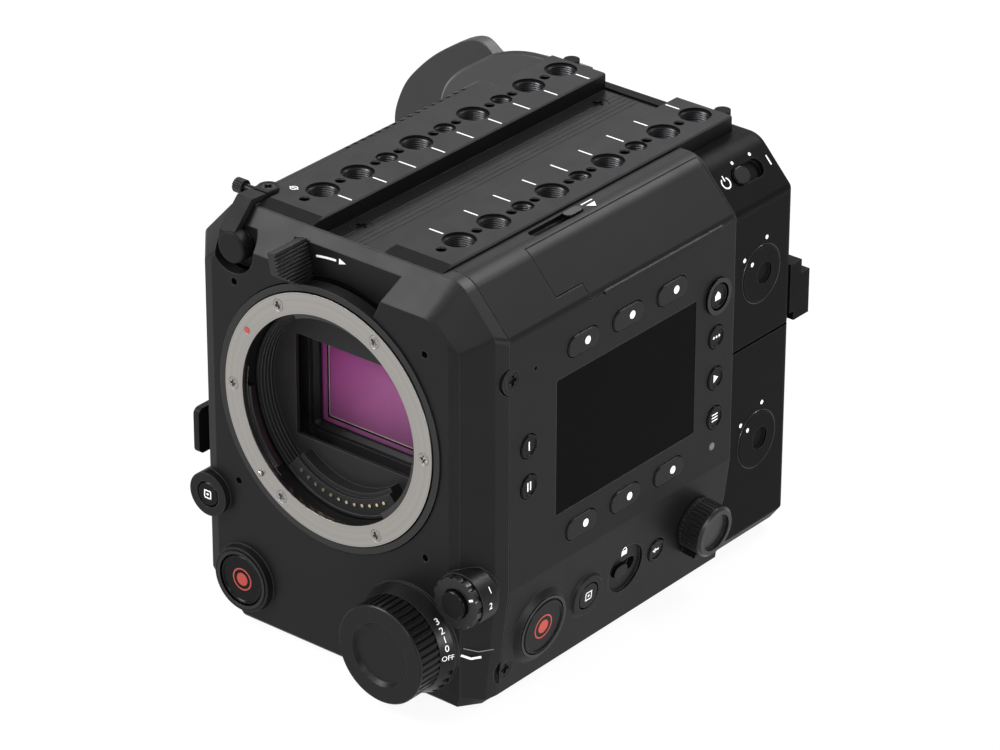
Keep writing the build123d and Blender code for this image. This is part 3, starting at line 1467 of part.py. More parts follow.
# Focus mode knob with a button in its middle
knob_front_y = -3.0
knob_rear_y = -0.9
focus_knob_r = 8.0
focus_flutes = 14
focus_flute_r = 1.1
focus_button_r = 4.25
focus_button_y = -4.5
focus_well = 1.3
focus_cap_gap = 0.9
focus_hub_r = 2.7
focus_stem_r = 1.6
focus_stem_length = 3.0
with BuildPart() as focus_mode_knob:
    with Locations(front_at(focus_x, knob_front_y, focus_z)):
        Cylinder(focus_knob_r, knob_rear_y - knob_front_y, align=(Align.CENTER, Align.CENTER, Align.MAX))
        Cylinder(focus_hub_r, focus_bore_depth + focus_seat_y - knob_front_y - seam,
                 align=(Align.CENTER, Align.CENTER, Align.MAX))
        CounterBoreHole(focus_stem_r + fit, focus_button_r + seam, focus_well)
    with BuildSketch(front_at(focus_x, knob_front_y, focus_z)):
        with PolarLocations(focus_knob_r + focus_flute_r / 2, focus_flutes):
            Circle(focus_flute_r)
    extrude(amount=knob_front_y - knob_rear_y, mode=Mode.SUBTRACT)
    chamfer(focus_mode_knob.faces().sort_by(Axis.Y)[0].edges().group_by(SortBy.LENGTH)[-1],
            length=fit)
save(focus_mode_knob, "focus_mode_knob")

with BuildPart() as focus_button:
    with Locations(front_at(focus_x, focus_button_y, focus_z)):
        Cylinder(focus_button_r, knob_front_y - focus_button_y + focus_well - focus_cap_gap,
                 align=(Align.CENTER, Align.CENTER, Align.MAX))
        Cylinder(focus_stem_r, focus_stem_length, align=(Align.CENTER, Align.CENTER, Align.MAX))
    chamfer(focus_button.edges().sort_by(Axis.Y)[0], length=button_edge)
save(focus_button, "focus_button")

# Metal rings pressed round the record and home buttons
with BuildPart() as button_bezels:
    with BuildSketch(right_plane(half_width - home_ring_h, *home_place)):
        Circle(home_ring_outer_r)
        Circle(home_r + seam, mode=Mode.SUBTRACT)
    extrude(amount=2 * home_ring_h)
    with BuildSketch(front_at(record_x, record_seat_y - front_ring_proud, record_z)):
        Circle(front_ring_outer_r)
        Circle(record_button_r + seam, mode=Mode.SUBTRACT)
    extrude(amount=-(front_ring_proud + ring_seat - fit / 2))
    with BuildSketch(strip_plane(record_place).offset(side_record_h + side_ring_proud)):
        Circle(side_ring_outer_r)
        Circle(side_record_r + seam, mode=Mode.SUBTRACT)
    extrude(amount=-(side_ring_proud + ring_seat - fit / 2))
save(button_bezels, "button_bezels")

# Cover screws: side ears, top plate and strap


def cover_screw(plane):
    """Adds one low-headed cover screw, its head's top just under the plane."""
    with Locations(plane.offset(-fit)):
        screw(cover_head_r, cover_head_h - fit, cover_shank_r, cover_shank_length, False)


with BuildPart() as cover_screws:
    for y, z in ear_places:
        upper = z > belt_z
        lower = strip_plane((y, z))
        cover_screw(right_plane(half_width, y, z) if upper else lower)
        cover_screw(left_plane(half_width, y, z) if upper else
                    Plane(origin=(-lower.origin.X, y, z), x_dir=(0, -1, 0),
                          z_dir=(-lower.z_dir.X, 0, lower.z_dir.Z)))
    for x, y in plate_screw_places:
        with Locations((x, y, channel_floor - fit)):
            screw(plate_screw_r, plate_screw_depth - fit, screw_post_r, channel_floor - plate_bottom, False)
    with Locations((-strap_screw_x, strap_screw_y, strap_base_z + strap_thick - fit)):
        screw(anchor_screw_r, anchor_sink - fit, cover_shank_r,
              strap_base_z + strap_thick - fit - shoulder_top + cover_shank_length - cut, False)
save(cover_screws, "cover_screws")

# Viewfinder at the left rear: sliding arm, tilting housing, eyecup and lens
arm_gap = 0.4
arm_thick = 4.6
arm_half_z = 6.0
arm_front_y = 124.0
arm_rear_y = 184.5
arm_inner_x = rear_half_width + arm_gap
arm_outer_x = arm_inner_x + arm_thick
pivot_y = 178.5
pivot_length = 3.0
pivot_x = arm_outer_x + pivot_length
finder_front_y = 168.0
finder_rear_y = 190.0
finder_width = 45.5
finder_side_z = 10.0
finder_rise = 29.8
finder_fall = 11.0
finder_over_z = 17.0
finder_low_z = -25.0
finder_low_run = 8.0
finder_side_low_z = -12.0
finder_inner_low_z = -18.0
finder_edge = 1.5
crown_x_shares = [1.0, 0.938, 0.613, 0.523, 0.435, 0.301, 0.169, 0.0]
crown_z_shares = [0.0, 0.302, 0.725, 0.819, 0.883, 0.953, 0.993, 1.0]
lens_run = 22.0
lens_x = -pivot_x - lens_run
lens_z = 0.0
lens_r = 11.5
lens_thick = 2.4
eyecup_y = finder_rear_y + fit
eyecup_thick = 4.5
eyecup_run = 4.0
eyecup_width = 70.7
eyecup_height = 51.5
eyecup_low_z = -27.0
eyecup_x_shares = [1.0, 0.999, 0.9745, 0.931, 0.87, 0.75, 0.631, 0.542, 0.484, 0.424, 0.255, 0.085, 0.0,
                   0.057, 0.226, 0.481, 0.82]
eyecup_z_shares = [0.214, 0.313, 0.427, 0.55, 0.656, 0.814, 0.928, 0.99, 1.0, 0.955, 0.854, 0.757, 0.602,
                   0.33, 0.214, 0.097, 0.0]
eyecup_ring_r = 16.0
eyecup_ring_inner_r = 13.0
eyecup_ring_depth = 8.0
finder_inner_x = -arm_inner_x - fit
finder_outer_x = finder_inner_x - finder_width
eyecup_points = [(-pivot_x - eyecup_run - eyecup_width * sx, eyecup_low_z + eyecup_height * sz)
                 for sx, sz in zip(eyecup_x_shares, eyecup_z_shares)]


def finder_section(y, fall):
    """Adds a sketch of the viewfinder's section at one y, its crown lowered by a fall."""
    crown = [(finder_inner_x - finder_width * sx, finder_side_z - fall + finder_rise * sz)
             for sx, sz in zip(crown_x_shares, crown_z_shares)]
    with BuildSketch(front_plane(y), mode=Mode.PRIVATE) as section:
        with BuildLine():
            Spline(*crown)
            Polyline(crown[-1], (finder_inner_x, finder_over_z), (-pivot_x - seam, finder_over_z),
                     (-pivot_x - seam, finder_inner_low_z), (-pivot_x - finder_low_run, finder_low_z),
                     (finder_outer_x + finder_low_run, finder_low_z), (finder_outer_x, finder_side_low_z),
                     crown[0])
        make_face()
    return section.sketch


with BuildPart() as evf_arm:
    with BuildSketch(left_plane(arm_inner_x)):
        with Locations((-(arm_front_y + arm_rear_y) / 2, 0)):
            SlotOverall(arm_rear_y - arm_front_y, 2 * arm_half_z)
    extrude(amount=arm_outer_x - arm_inner_x)
    with Locations(left_plane(arm_outer_x, pivot_y, 0)):
        Cylinder(arm_half_z - seam, pivot_x - arm_outer_x + cut,
                 align=(Align.CENTER, Align.CENTER, Align.MIN))
save(evf_arm, "evf_arm")

front_section = finder_section(finder_front_y, 0)
rear_section = finder_section(finder_rear_y, finder_fall)
with BuildPart() as evf_housing:
    loft([front_section, rear_section], ruled=True)
    chamfer(evf_housing.faces().sort_by(Axis.Y)[0].edges(), length=finder_edge)
    with Locations(left_plane(pivot_x, pivot_y, 0)):
        Hole(arm_half_z, 2 * cut)
    with Locations(Plane(origin=(lens_x, finder_rear_y, lens_z), z_dir=(0, 1, 0))):
        Hole(lens_r + fit, 2 * lens_thick)
save(evf_housing, "evf_housing")

with BuildPart() as evf_lens:
    with BuildSketch(front_at(lens_x, finder_rear_y - lens_thick, lens_z)):
        Circle(lens_r)
    extrude(amount=-lens_thick)
save(evf_lens, "evf_lens")

with BuildPart() as evf_eyecup:
    with BuildSketch(front_plane(eyecup_y)):
        with BuildLine():
            Spline(*eyecup_points, periodic=True)
        make_face()
        with Locations((lens_x, lens_z)):
            Circle(eyecup_ring_inner_r, mode=Mode.SUBTRACT)
    extrude(amount=-eyecup_thick)
    with BuildSketch(front_at(lens_x, eyecup_y, lens_z)):
        Circle(eyecup_ring_r)
        Circle(eyecup_ring_inner_r, mode=Mode.SUBTRACT)
    extrude(amount=-eyecup_ring_depth)
save(evf_eyecup, "evf_eyecup")

# Battery pack in the lower rear bay
battery_half_x = 42.0
battery_front_y = bay_front_y + seam
battery_rear_y = 144.6
battery_low_z = bay_low_z + seam
battery_top_z = shelf_z - shelf_half - cut
battery_edge_r = 2.0
with BuildPart() as battery_pack:
    with BuildSketch(front_plane(battery_front_y)):
        with Locations((0, (battery_low_z + battery_top_z) / 2)):
            RectangleRounded(2 * battery_half_x, battery_top_z - battery_low_z, battery_edge_r)
    extrude(amount=battery_front_y - battery_rear_y)
save(battery_pack, "battery_pack")
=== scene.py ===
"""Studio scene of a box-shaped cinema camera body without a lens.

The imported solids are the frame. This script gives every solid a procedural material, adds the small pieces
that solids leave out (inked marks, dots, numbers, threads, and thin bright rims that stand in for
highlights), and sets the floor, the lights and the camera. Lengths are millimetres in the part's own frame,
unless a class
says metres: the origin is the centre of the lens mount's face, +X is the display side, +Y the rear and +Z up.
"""

from __future__ import annotations

import logging
import math
from collections.abc import Iterable, Sequence
from dataclasses import dataclass, field
from enum import Enum

import bmesh
import bpy
from mathutils import Matrix, Vector


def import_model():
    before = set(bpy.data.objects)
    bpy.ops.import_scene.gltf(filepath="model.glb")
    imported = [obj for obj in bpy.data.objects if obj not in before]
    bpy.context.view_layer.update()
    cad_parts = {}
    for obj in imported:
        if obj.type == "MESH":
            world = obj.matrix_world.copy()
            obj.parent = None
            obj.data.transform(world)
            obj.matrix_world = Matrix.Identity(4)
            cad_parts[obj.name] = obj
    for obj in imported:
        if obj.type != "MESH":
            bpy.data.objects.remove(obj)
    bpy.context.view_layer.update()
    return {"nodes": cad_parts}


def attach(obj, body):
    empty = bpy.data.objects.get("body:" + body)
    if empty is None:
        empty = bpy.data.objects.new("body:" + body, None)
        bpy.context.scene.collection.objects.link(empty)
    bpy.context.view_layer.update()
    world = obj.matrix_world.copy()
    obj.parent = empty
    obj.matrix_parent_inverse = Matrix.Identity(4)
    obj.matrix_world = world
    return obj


LOG = logging.getLogger("scene")
MM = 0.001
Point = tuple[float, float]
Place = tuple[float, float, float]
Socket = bpy.types.NodeSocket
Tree = bpy.types.NodeTree
Colour = tuple[float, float, float]


def srgb(red: int, green: int, blue: int) -> Colour:
    """Turns an 8-bit sRGB colour into linear values.

    Args:
        red: Red, 0 to 255.
        green: Green, 0 to 255.
        blue: Blue, 0 to 255.

    Returns:
        The linear red, green and blue.
    """
    values = [c / 255 for c in (red, green, blue)]
    linear = [c / 12.92 if c <= 0.04045 else ((c + 0.055) / 1.055) ** 2.4 for c in values]
    return linear[0], linear[1], linear[2]


class Texture(Enum):
    """How a finish's surface is built."""

    GRAIN = "grain"
    TURNED = "turned"
    SENSOR = "sensor"


@dataclass(frozen=True)
class Finish:
    """One procedural material.

    Attributes:
        name: The material's name.
        colour: Linear base colour.
        roughness: Middle roughness.
        metallic: Metallic share, 0 or 1.
        texture: How the surface is built.
        grain_mm: Size of the fine grain.
        bump_mm: Height of the fine grain.
        edge_mm: Radius of the softened edges.
        edge_light: How much lighter the edges are, as a share of white: partly wear, partly painted
            highlight.
        specular: Specular level.
        alpha: Opacity.
    """

    name: str
    colour: Colour
    roughness: float
    metallic: float = 0.0
    texture: Texture = Texture.GRAIN
    grain_mm: float = 0.35
    bump_mm: float = 0.012
    edge_mm: float = 0.3
    edge_light: float = 0.02
    specular: float = 0.5
    alpha: float = 1.0


PAINT = Finish("body_paint", srgb(19, 19, 20), 0.4, grain_mm=0.28, bump_mm=0.014, edge_mm=0.45,
               edge_light=0.04, specular=0.13)
SIDE_PAINT = Finish("side_paint", srgb(16, 16, 17), 0.42, grain_mm=0.28, bump_mm=0.014, edge_mm=0.45,
                    edge_light=0.04, specular=0.11)
REAR_PAINT = Finish("rear_paint", srgb(13, 13, 14), 0.42, grain_mm=0.28, bump_mm=0.012, edge_mm=0.4,
                    edge_light=0.03, specular=0.03)
PLATE = Finish("rail_anodised", srgb(14, 14, 15), 0.4, grain_mm=0.2, bump_mm=0.006, edge_mm=0.2, specular=0.1)
ANODISED = Finish("black_anodised", srgb(18, 18, 19), 0.33, grain_mm=0.15, bump_mm=0.004, edge_mm=0.2,
                  edge_light=0.035, specular=0.14)
KNURL = Finish("knurled_metal", srgb(26, 26, 27), 0.33, grain_mm=0.15, bump_mm=0.004, edge_mm=0.16,
               edge_light=0.06, specular=0.25)
EYECUP = Finish("eyecup_rubber", srgb(34, 34, 35), 0.5, grain_mm=0.3, bump_mm=0.008, edge_mm=0.6,
                edge_light=0.05, specular=0.4)
INNER = Finish("inner_black", srgb(6, 6, 7), 0.55, grain_mm=0.3, bump_mm=0.006, edge_mm=0.15, specular=0.06)
BAFFLE = Finish("flocked_black", srgb(30, 30, 31), 0.55, grain_mm=0.2, bump_mm=0.01, edge_mm=0.25,
                edge_light=0.05, specular=0.2)
STEEL = Finish("mount_steel", srgb(160, 157, 153), 0.3, metallic=1.0, texture=Texture.TURNED, edge_mm=0.12)
CHROME = Finish("bright_screw", srgb(150, 148, 146), 0.24, metallic=1.0, edge_mm=0.08, bump_mm=0.002)
SCREW = Finish("black_screw", srgb(18, 18, 19), 0.34, edge_mm=0.12, bump_mm=0.002, edge_light=0.01,
               specular=0.08)
CONTACT = Finish("contact_metal", srgb(200, 190, 160), 0.3, metallic=1.0, edge_mm=0.05, bump_mm=0.001)
BUTTON = Finish("button_plastic", srgb(8, 8, 9), 0.24, grain_mm=0.2, bump_mm=0.002, edge_mm=0.2, specular=0.1)
BEZEL = Finish("bezel_metal", srgb(54, 54, 56), 0.28, metallic=1.0, edge_mm=0.1, bump_mm=0.002)
THREAD = Finish("thread_metal", srgb(58, 58, 60), 0.35, metallic=1.0, edge_mm=0.05, bump_mm=0.002)
KEY = Finish("key_plastic", srgb(12, 12, 13), 0.28, grain_mm=0.25, bump_mm=0.003, edge_mm=0.3, specular=0.15)
# Bright metal for rims that stand in for highlights on the seat and well edges.
HIGHLIGHT_RIM = Finish("highlight_rim_metal", srgb(74, 74, 76), 0.26, metallic=1.0, edge_mm=0.02, bump_mm=0.001)
RUBBER = Finish("rubber", srgb(22, 22, 23), 0.55, grain_mm=0.3, bump_mm=0.012, edge_mm=0.3, edge_light=0.01,
                specular=0.12)
DISPLAY = Finish("display_glass", srgb(4, 4, 5), 0.12, edge_mm=0.15, specular=0.02)
SENSOR = Finish("image_sensor", srgb(164, 92, 145), 0.3, texture=Texture.SENSOR, edge_mm=0.05, specular=0.1)
COVER = Finish("cover_glass", srgb(60, 40, 60), 0.06, alpha=0.06, edge_mm=0.05, specular=0.15)
LENS = Finish("finder_lens", srgb(40, 42, 50), 0.05, edge_mm=0.1, specular=0.4)
LAMP = Finish("lamp", srgb(84, 84, 88), 0.3, edge_mm=0.1, bump_mm=0.001)
BATTERY = Finish("battery_case", srgb(26, 26, 28), 0.45, specular=0.3)
FINDER = Finish("finder_shell", srgb(38, 38, 40), 0.36, grain_mm=0.25, bump_mm=0.008, edge_mm=0.5,
                specular=0.6)
# Bright metal for the painted highlight along the lower claw's edge.
CLAW_HIGHLIGHT = Finish("painted_claw_highlight", srgb(170, 168, 164), 0.25, metallic=1.0, edge_mm=0.02, bump_mm=0.001)
SENSOR_EDGE = Finish("sensor_edge", srgb(196, 190, 168), 0.4, edge_mm=0.02, bump_mm=0.001)
WHITE_INK = Finish("white_ink", srgb(225, 225, 225), 0.5, grain_mm=0.2, bump_mm=0.002, edge_mm=0.02)
DIM_INK = Finish("dim_ink", srgb(110, 110, 112), 0.5, grain_mm=0.2, bump_mm=0.002, edge_mm=0.02)
RED_INK = Finish("red_ink", srgb(158, 50, 38), 0.5, grain_mm=0.2, bump_mm=0.002, edge_mm=0.02)

NODE_FINISHES: dict[str, Finish] = {
    "front_housing": PAINT, "right_side_panel": SIDE_PAINT, "left_side_panel": SIDE_PAINT,
    "card_door": SIDE_PAINT, "rear_housing": REAR_PAINT, "upper_door": REAR_PAINT,
    "lower_door": REAR_PAINT, "upper_door_knob": REAR_PAINT, "lower_door_knob": REAR_PAINT,
    "top_plate": PLATE, "base_plate": PLATE, "main_chassis": INNER, "lens_mount_ring": STEEL,
    "mount_screws": CHROME, "lens_lock_pin": CHROME, "mount_tunnel": BAFFLE, "contact_pins": CONTACT,
    "sensor_frame": BAFFLE, "image_sensor": SENSOR, "sensor_glass": COVER, "display_glass": DISPLAY,
    "status_lamp": LAMP, "button_bezels": BEZEL, "cover_screws": SCREW, "tape_hook": ANODISED,
    "sync_terminal": CHROME, "strap_anchor": RUBBER, "terminal_cap": RUBBER, "terminal_door": RUBBER,
    "battery_pack": BATTERY, "lens_lock_ring": KNURL, "nd_dial": ANODISED, "nd_mode_ring": ANODISED,
    "focus_mode_knob": KNURL, "jog_dial": KNURL, "evf_arm": ANODISED, "evf_housing": FINDER,
    "evf_eyecup": EYECUP, "evf_lens": LENS,
}
KEY_PREFIX = "soft_key"

SENSOR_SCALE = 17.0
SENSOR_MIDDLE = 0.5
# Painted sheen: the sensor is lighter pink at its upper left and darker at its lower right.
SENSOR_PAINTED_SHEEN = (srgb(160, 64, 138), srgb(100, 74, 96))
SENSOR_SPREAD = (0.2, 0.85)
TURNED_SWING = 0.3
PLAIN_SWING = 0.06
TURNED_DRIFT_MM = 0.3
PLAIN_DRIFT_MM = 26.0
WEAR_MM = 7.0
TURNING_MM = 0.12
NOISE_SPREAD = (0.3, 0.7)
ROUGHNESS_SPREAD = 0.05
EDGE_START = 0.99
EDGE_FULL = 0.8
BRUSHED = 0.55
# Near black, painted as shade inside the mount ring's bore.
BORE_SHADE = (0.004, 0.004, 0.004, 1.0)


def math_node(tree: Tree, operation: str, first: Socket | float, second: Socket | float) -> Socket:
    """Adds a math node.

    Args:
        tree: The material's nodes.
        operation: What it computes.
        first: A socket or a number.
        second: A socket or a number.

    Returns:
        Its result.
    """
    node = tree.nodes.new("ShaderNodeMath")
    node.operation = operation
    for slot, value in zip(node.inputs, (first, second)):
        if isinstance(value, Socket):
            tree.links.new(value, slot)
        else:
            slot.default_value = value
    return node.outputs[0]


@dataclass
class MaterialBuilder:
    """Builds the nodes of one material.

    Attributes:
        finish: What it looks like.
        tree: Its nodes.
        place: Object coordinates.
        bore_r: Radius inside which the mount ring gets painted shade.
        bore_y: Depth behind which it is.
    """

    finish: Finish
    tree: Tree
    place: Socket
    bore_r: float = 33.2
    bore_y: float = 0.3

    @property
    def turned(self) -> bool:
        """Whether the finish is turned round the lens axis."""
        return self.finish.texture is Texture.TURNED

    def build(self) -> None:
        """Wires the colour, the roughness and the relief to the shader."""
        tree, finish = self.tree, self.finish
        shader = tree.nodes["Principled BSDF"]
        shader.inputs["Metallic"].default_value = finish.metallic
        shader.inputs["Specular IOR Level"].default_value = finish.specular
        shader.inputs["Alpha"].default_value = finish.alpha
        edge, rounded = self._edges()
        lighter = tree.nodes.new("ShaderNodeMix")
        lighter.data_type = "RGBA"
        tree.links.new(edge, lighter.inputs["Factor"])
        tree.links.new(self._tint(), lighter.inputs["A"])
        # Lighter edges: partly wear, partly a painted highlight along them.
        wear_and_highlight = tuple(min(1.0, c + finish.edge_light) for c in finish.colour)
        lighter.inputs["B"].default_value = (*wear_and_highlight, 1.0)
        colour = lighter.outputs["Result"]
        if self.turned:
            # Painted shade: the mount ring's bore behind its claws is darkened to black.
            colour = self._paint_bore_shade(colour, shader)
            shader.inputs["Anisotropic"].default_value = BRUSHED
        tree.links.new(colour, shader.inputs["Base Color"])
        tree.links.new(self._roughness(), shader.inputs["Roughness"])
        bump = tree.nodes.new("ShaderNodeBump")
        bump.inputs["Strength"].default_value = 1.0
        bump.inputs["Distance"].default_value = finish.bump_mm * MM
        tree.links.new(self._height(), bump.inputs["Height"])
        tree.links.new(rounded, bump.inputs["Normal"])
        tree.links.new(bump.outputs["Normal"], shader.inputs["Normal"])

    def _noise(self, place: Socket, size_mm: float, detail: float) -> Socket:
        """Adds noise of a size in millimetres.

        Args:
            place: The coordinates it reads.
            size_mm: Size of its coarsest grain.
            detail: How many finer layers it has.

        Returns:
            Its value.
        """
        noise = self.tree.nodes.new("ShaderNodeTexNoise")
        noise.inputs["Scale"].default_value = 1.0 / (size_mm * MM)
        noise.inputs["Detail"].default_value = detail
        self.tree.links.new(place, noise.inputs["Vector"])
        return noise.outputs["Fac"]

    def _tint(self) -> Socket:
        """Base colour: a slow drift in tone, or the sensor's own tint with a painted sheen that sweeps from
        its upper left to its lower right.

        Returns:
            The colour.
        """
        colour = self.finish.colour
        ramp = self.tree.nodes.new("ShaderNodeValToRGB")
        ends = ramp.color_ramp.elements[:2]
        # The sensor's painted sheen: its colour sweeps across it diagonally.
        if self.finish.texture is Texture.SENSOR:
            tones, spread = SENSOR_PAINTED_SHEEN, SENSOR_SPREAD
            value = self._diagonal()
        else:
            swing = TURNED_SWING if self.turned else PLAIN_SWING
            tones = (tuple(c * (1 - swing) for c in colour), tuple(min(1.0, c * (1 + swing)) for c in colour))
            spread = NOISE_SPREAD
            value = self._noise(self._axis_distance(), TURNED_DRIFT_MM, 4.0) if self.turned else \
                self._noise(self.place, PLAIN_DRIFT_MM, 3.0)
        for element, tone, position in zip(ends, tones, spread):
            element.color = (*tone, 1)
            element.position = position
        if self.finish.texture is Texture.SENSOR:
            ramp.color_ramp.elements.new(SENSOR_MIDDLE).color = (*colour, 1)
        self.tree.links.new(value, ramp.inputs["Fac"])
        return ramp.outputs["Color"]

    def _diagonal(self) -> Socket:
        """A value that grows from the sensor's upper left to its lower right.

        Returns:
            The value, 0.5 at the lens axis.
        """
        mapping = self.tree.nodes.new("ShaderNodeMapping")
        mapping.inputs["Scale"].default_value = (SENSOR_SCALE, 0.0, -SENSOR_SCALE)
        mapping.inputs["Location"].default_value = (SENSOR_MIDDLE, 0.0, SENSOR_MIDDLE)
        self.tree.links.new(self.place, mapping.inputs["Vector"])
        split = self.tree.nodes.new("ShaderNodeSeparateXYZ")
        self.tree.links.new(mapping.outputs["Vector"], split.inputs["Vector"])
        total = math_node(self.tree, "ADD", split.outputs["X"], split.outputs["Z"])
        return math_node(self.tree, "MULTIPLY", total, 0.5)

    def _paint_bore_shade(self, colour: Socket, shader: bpy.types.Node) -> Socket:
        """Paints shade into the mount ring's bore behind its claws: black colour, and its metal taken away
        there.

        Args:
            colour: The ring's colour.
            shader: The shader whose metal is set.

        Returns:
            The colour with the painted shade in the bore.
        """
        tree = self.tree
        split = tree.nodes.new("ShaderNodeSeparateXYZ")
        tree.links.new(self.place, split.inputs["Vector"])
        inside = math_node(tree, "LESS_THAN", self._axis_distance(), self.bore_r * MM)
        behind = math_node(tree, "GREATER_THAN", split.outputs["Y"], self.bore_y * MM)
        both = math_node(tree, "MULTIPLY", inside, behind)
        mix = tree.nodes.new("ShaderNodeMix")
        mix.data_type = "RGBA"
        mix.inputs["B"].default_value = BORE_SHADE
        tree.links.new(both, mix.inputs["Factor"])
        tree.links.new(colour, mix.inputs["A"])
        tree.links.new(math_node(tree, "SUBTRACT", 1.0, both), shader.inputs["Metallic"])
        return mix.outputs["Result"]

    def _axis_distance(self) -> Socket:
        """Distance from the lens axis in metres.

        Returns:
            The distance.
        """
        flat = self.tree.nodes.new("ShaderNodeVectorMath")
        flat.operation = "MULTIPLY"
        flat.inputs[1].default_value = (1.0, 0.0, 1.0)
        self.tree.links.new(self.place, flat.inputs[0])
        length = self.tree.nodes.new("ShaderNodeVectorMath")
        length.operation = "LENGTH"
        self.tree.links.new(flat.outputs["Vector"], length.inputs[0])
        return length.outputs["Value"]

    def _roughness(self) -> Socket:
        """Roughness that drifts a little over the surface.

        Returns:
            The roughness.
        """
        rough = self.finish.roughness
        spread = self.tree.nodes.new("ShaderNodeMapRange")
        low, high = NOISE_SPREAD
        spread.inputs["From Min"].default_value = low
        spread.inputs["From Max"].default_value = high
        spread.inputs["To Min"].default_value = rough * (1 - ROUGHNESS_SPREAD)
        spread.inputs["To Max"].default_value = min(1.0, rough * (1 + ROUGHNESS_SPREAD))
        self.tree.links.new(self._noise(self.place, WEAR_MM, 4.0), spread.inputs["Value"])
        return spread.outputs["Result"]

    def _height(self) -> Socket:
        """Fine relief: blasted grain, or turning lines round the lens axis.

        Returns:
            The height.
        """
        if self.turned:
            return self._noise(self._axis_distance(), TURNING_MM, 3.0)
        return self._noise(self.place, self.finish.grain_mm, 2.0)

    def _edges(self) -> tuple[Socket, Socket]:
        """Softened edges.

        Returns:
            A factor that is high along the edges, and the rounded normal.
        """
        tree = self.tree
        bevel = tree.nodes.new("ShaderNodeBevel")
        bevel.samples = 4
        bevel.inputs["Radius"].default_value = self.finish.edge_mm * MM
        plain = tree.nodes.new("ShaderNodeNewGeometry")
        dot = tree.nodes.new("ShaderNodeVectorMath")
        dot.operation = "DOT_PRODUCT"
        tree.links.new(bevel.outputs["Normal"], dot.inputs[0])
        tree.links.new(plain.outputs["Normal"], dot.inputs[1])
        spread = tree.nodes.new("ShaderNodeMapRange")
        spread.inputs["From Min"].default_value = EDGE_START
        spread.inputs["From Max"].default_value = EDGE_FULL
        tree.links.new(dot.outputs["Value"], spread.inputs["Value"])
        return spread.outputs["Result"], bevel.outputs["Normal"]


@dataclass
class MaterialShop:
    """Builds each finish once and hands it out.

    Attributes:
        made: The materials so far, by name.
    """

    made: dict[str, bpy.types.Material] = field(default_factory=dict)

    def get(self, finish: Finish) -> bpy.types.Material:
        """Returns the finish's material, built on first use.

        Args:
            finish: The finish wanted.

        Returns:
            The Blender material.
        """
        if finish.name not in self.made:
            material = bpy.data.materials.new(finish.name)
            material.use_nodes = True
            tree = material.node_tree
            place = tree.nodes.new("ShaderNodeTexCoord").outputs["Object"]
            MaterialBuilder(finish, tree, place).build()
            self.made[finish.name] = material
        return self.made[finish.name]


@dataclass(frozen=True)
class Face:
    """A flat place on the object that marks are laid on.

    Attributes:
        origin: A point of it, in millimetres.
        right: Unit vector of its first axis.
        up: Unit vector of its second axis.
    """

    origin: Place
    right: Place
    up: Place

    @property
    def normal(self) -> Vector:
        """Outward normal, right cross up."""
        return Vector(self.right).cross(Vector(self.up)).normalized()

    def at(self, u: float, v: float, height: float) -> Vector:
        """Point in metres at u and v along the axes and a height above the face."""
        place = Vector(self.origin) + u * Vector(self.right) + v * Vector(self.up) + height * self.normal
        return place * MM


def front_face(y: float) -> Face:
    """Face that looks to the front, at one y: u is X and v is Z."""
    return Face((0.0, y, 0.0), (1.0, 0.0, 0.0), (0.0, 0.0, 1.0))


def side_face(x: float) -> Face:
    """Face that looks to the display side, at one x: u is Y and v is Z."""
    return Face((x, 0.0, 0.0), (0.0, 1.0, 0.0), (0.0, 0.0, 1.0))


def top_face(z: float) -> Face:
    """Face that looks up, at one z: u is X and v is Y."""
    return Face((0.0, 0.0, z), (1.0, 0.0, 0.0), (0.0, 1.0, 0.0))


def round_face(axis: Place, r: float, angle: float, flare: float = 0.0) -> Face:
    """Face on the side of a round part about the Y axis: u runs to the rear and v round the part.

    Args:
        axis: Point of the part's axis at the mark's y.
        r: The part's radius there.
        angle: Place round the part in degrees from +X towards +Z.
        flare: How far the radius grows per millimetre to the rear.

    Returns:
        The tangent face.
    """
    a = math.radians(angle)
    out = Vector((math.cos(a), 0.0, math.sin(a)))
    right = (Vector((0.0, 1.0, 0.0)) + flare * out).normalized()
    return Face(tuple(Vector(axis) + r * out), tuple(right), (-math.sin(a), 0.0, math.cos(a)))


BELT_Z = -42.3
STRIP_LEAN = math.atan2(4.5, 35.7)
STRIP = Face((56.0, 0.0, BELT_Z), (0.0, 1.0, 0.0), (math.sin(STRIP_LEAN), 0.0, math.cos(STRIP_LEAN)))
SLOPE_Z = 36.3
SLOPE_LEAN = math.atan2(12.6, 13.7)
REAR_SLOPE = Face((54.0, 0.0, SLOPE_Z), (0.0, 1.0, 0.0), (-math.sin(SLOPE_LEAN), 0.0, math.cos(SLOPE_LEAN)))
SIDE_BEVEL = Face((47.7, 1.9, 0.0), (0.657, 0.754, 0.0), (0.0, 0.0, 1.0))
INK_LIFT = 0.015
BODY = "camera_body"


def round_point(centre: Point, r: float, angle: float) -> Point:
    """Point at a radius and an angle in degrees round a centre."""
    a = math.radians(angle)
    return centre[0] + r * math.cos(a), centre[1] + r * math.sin(a)


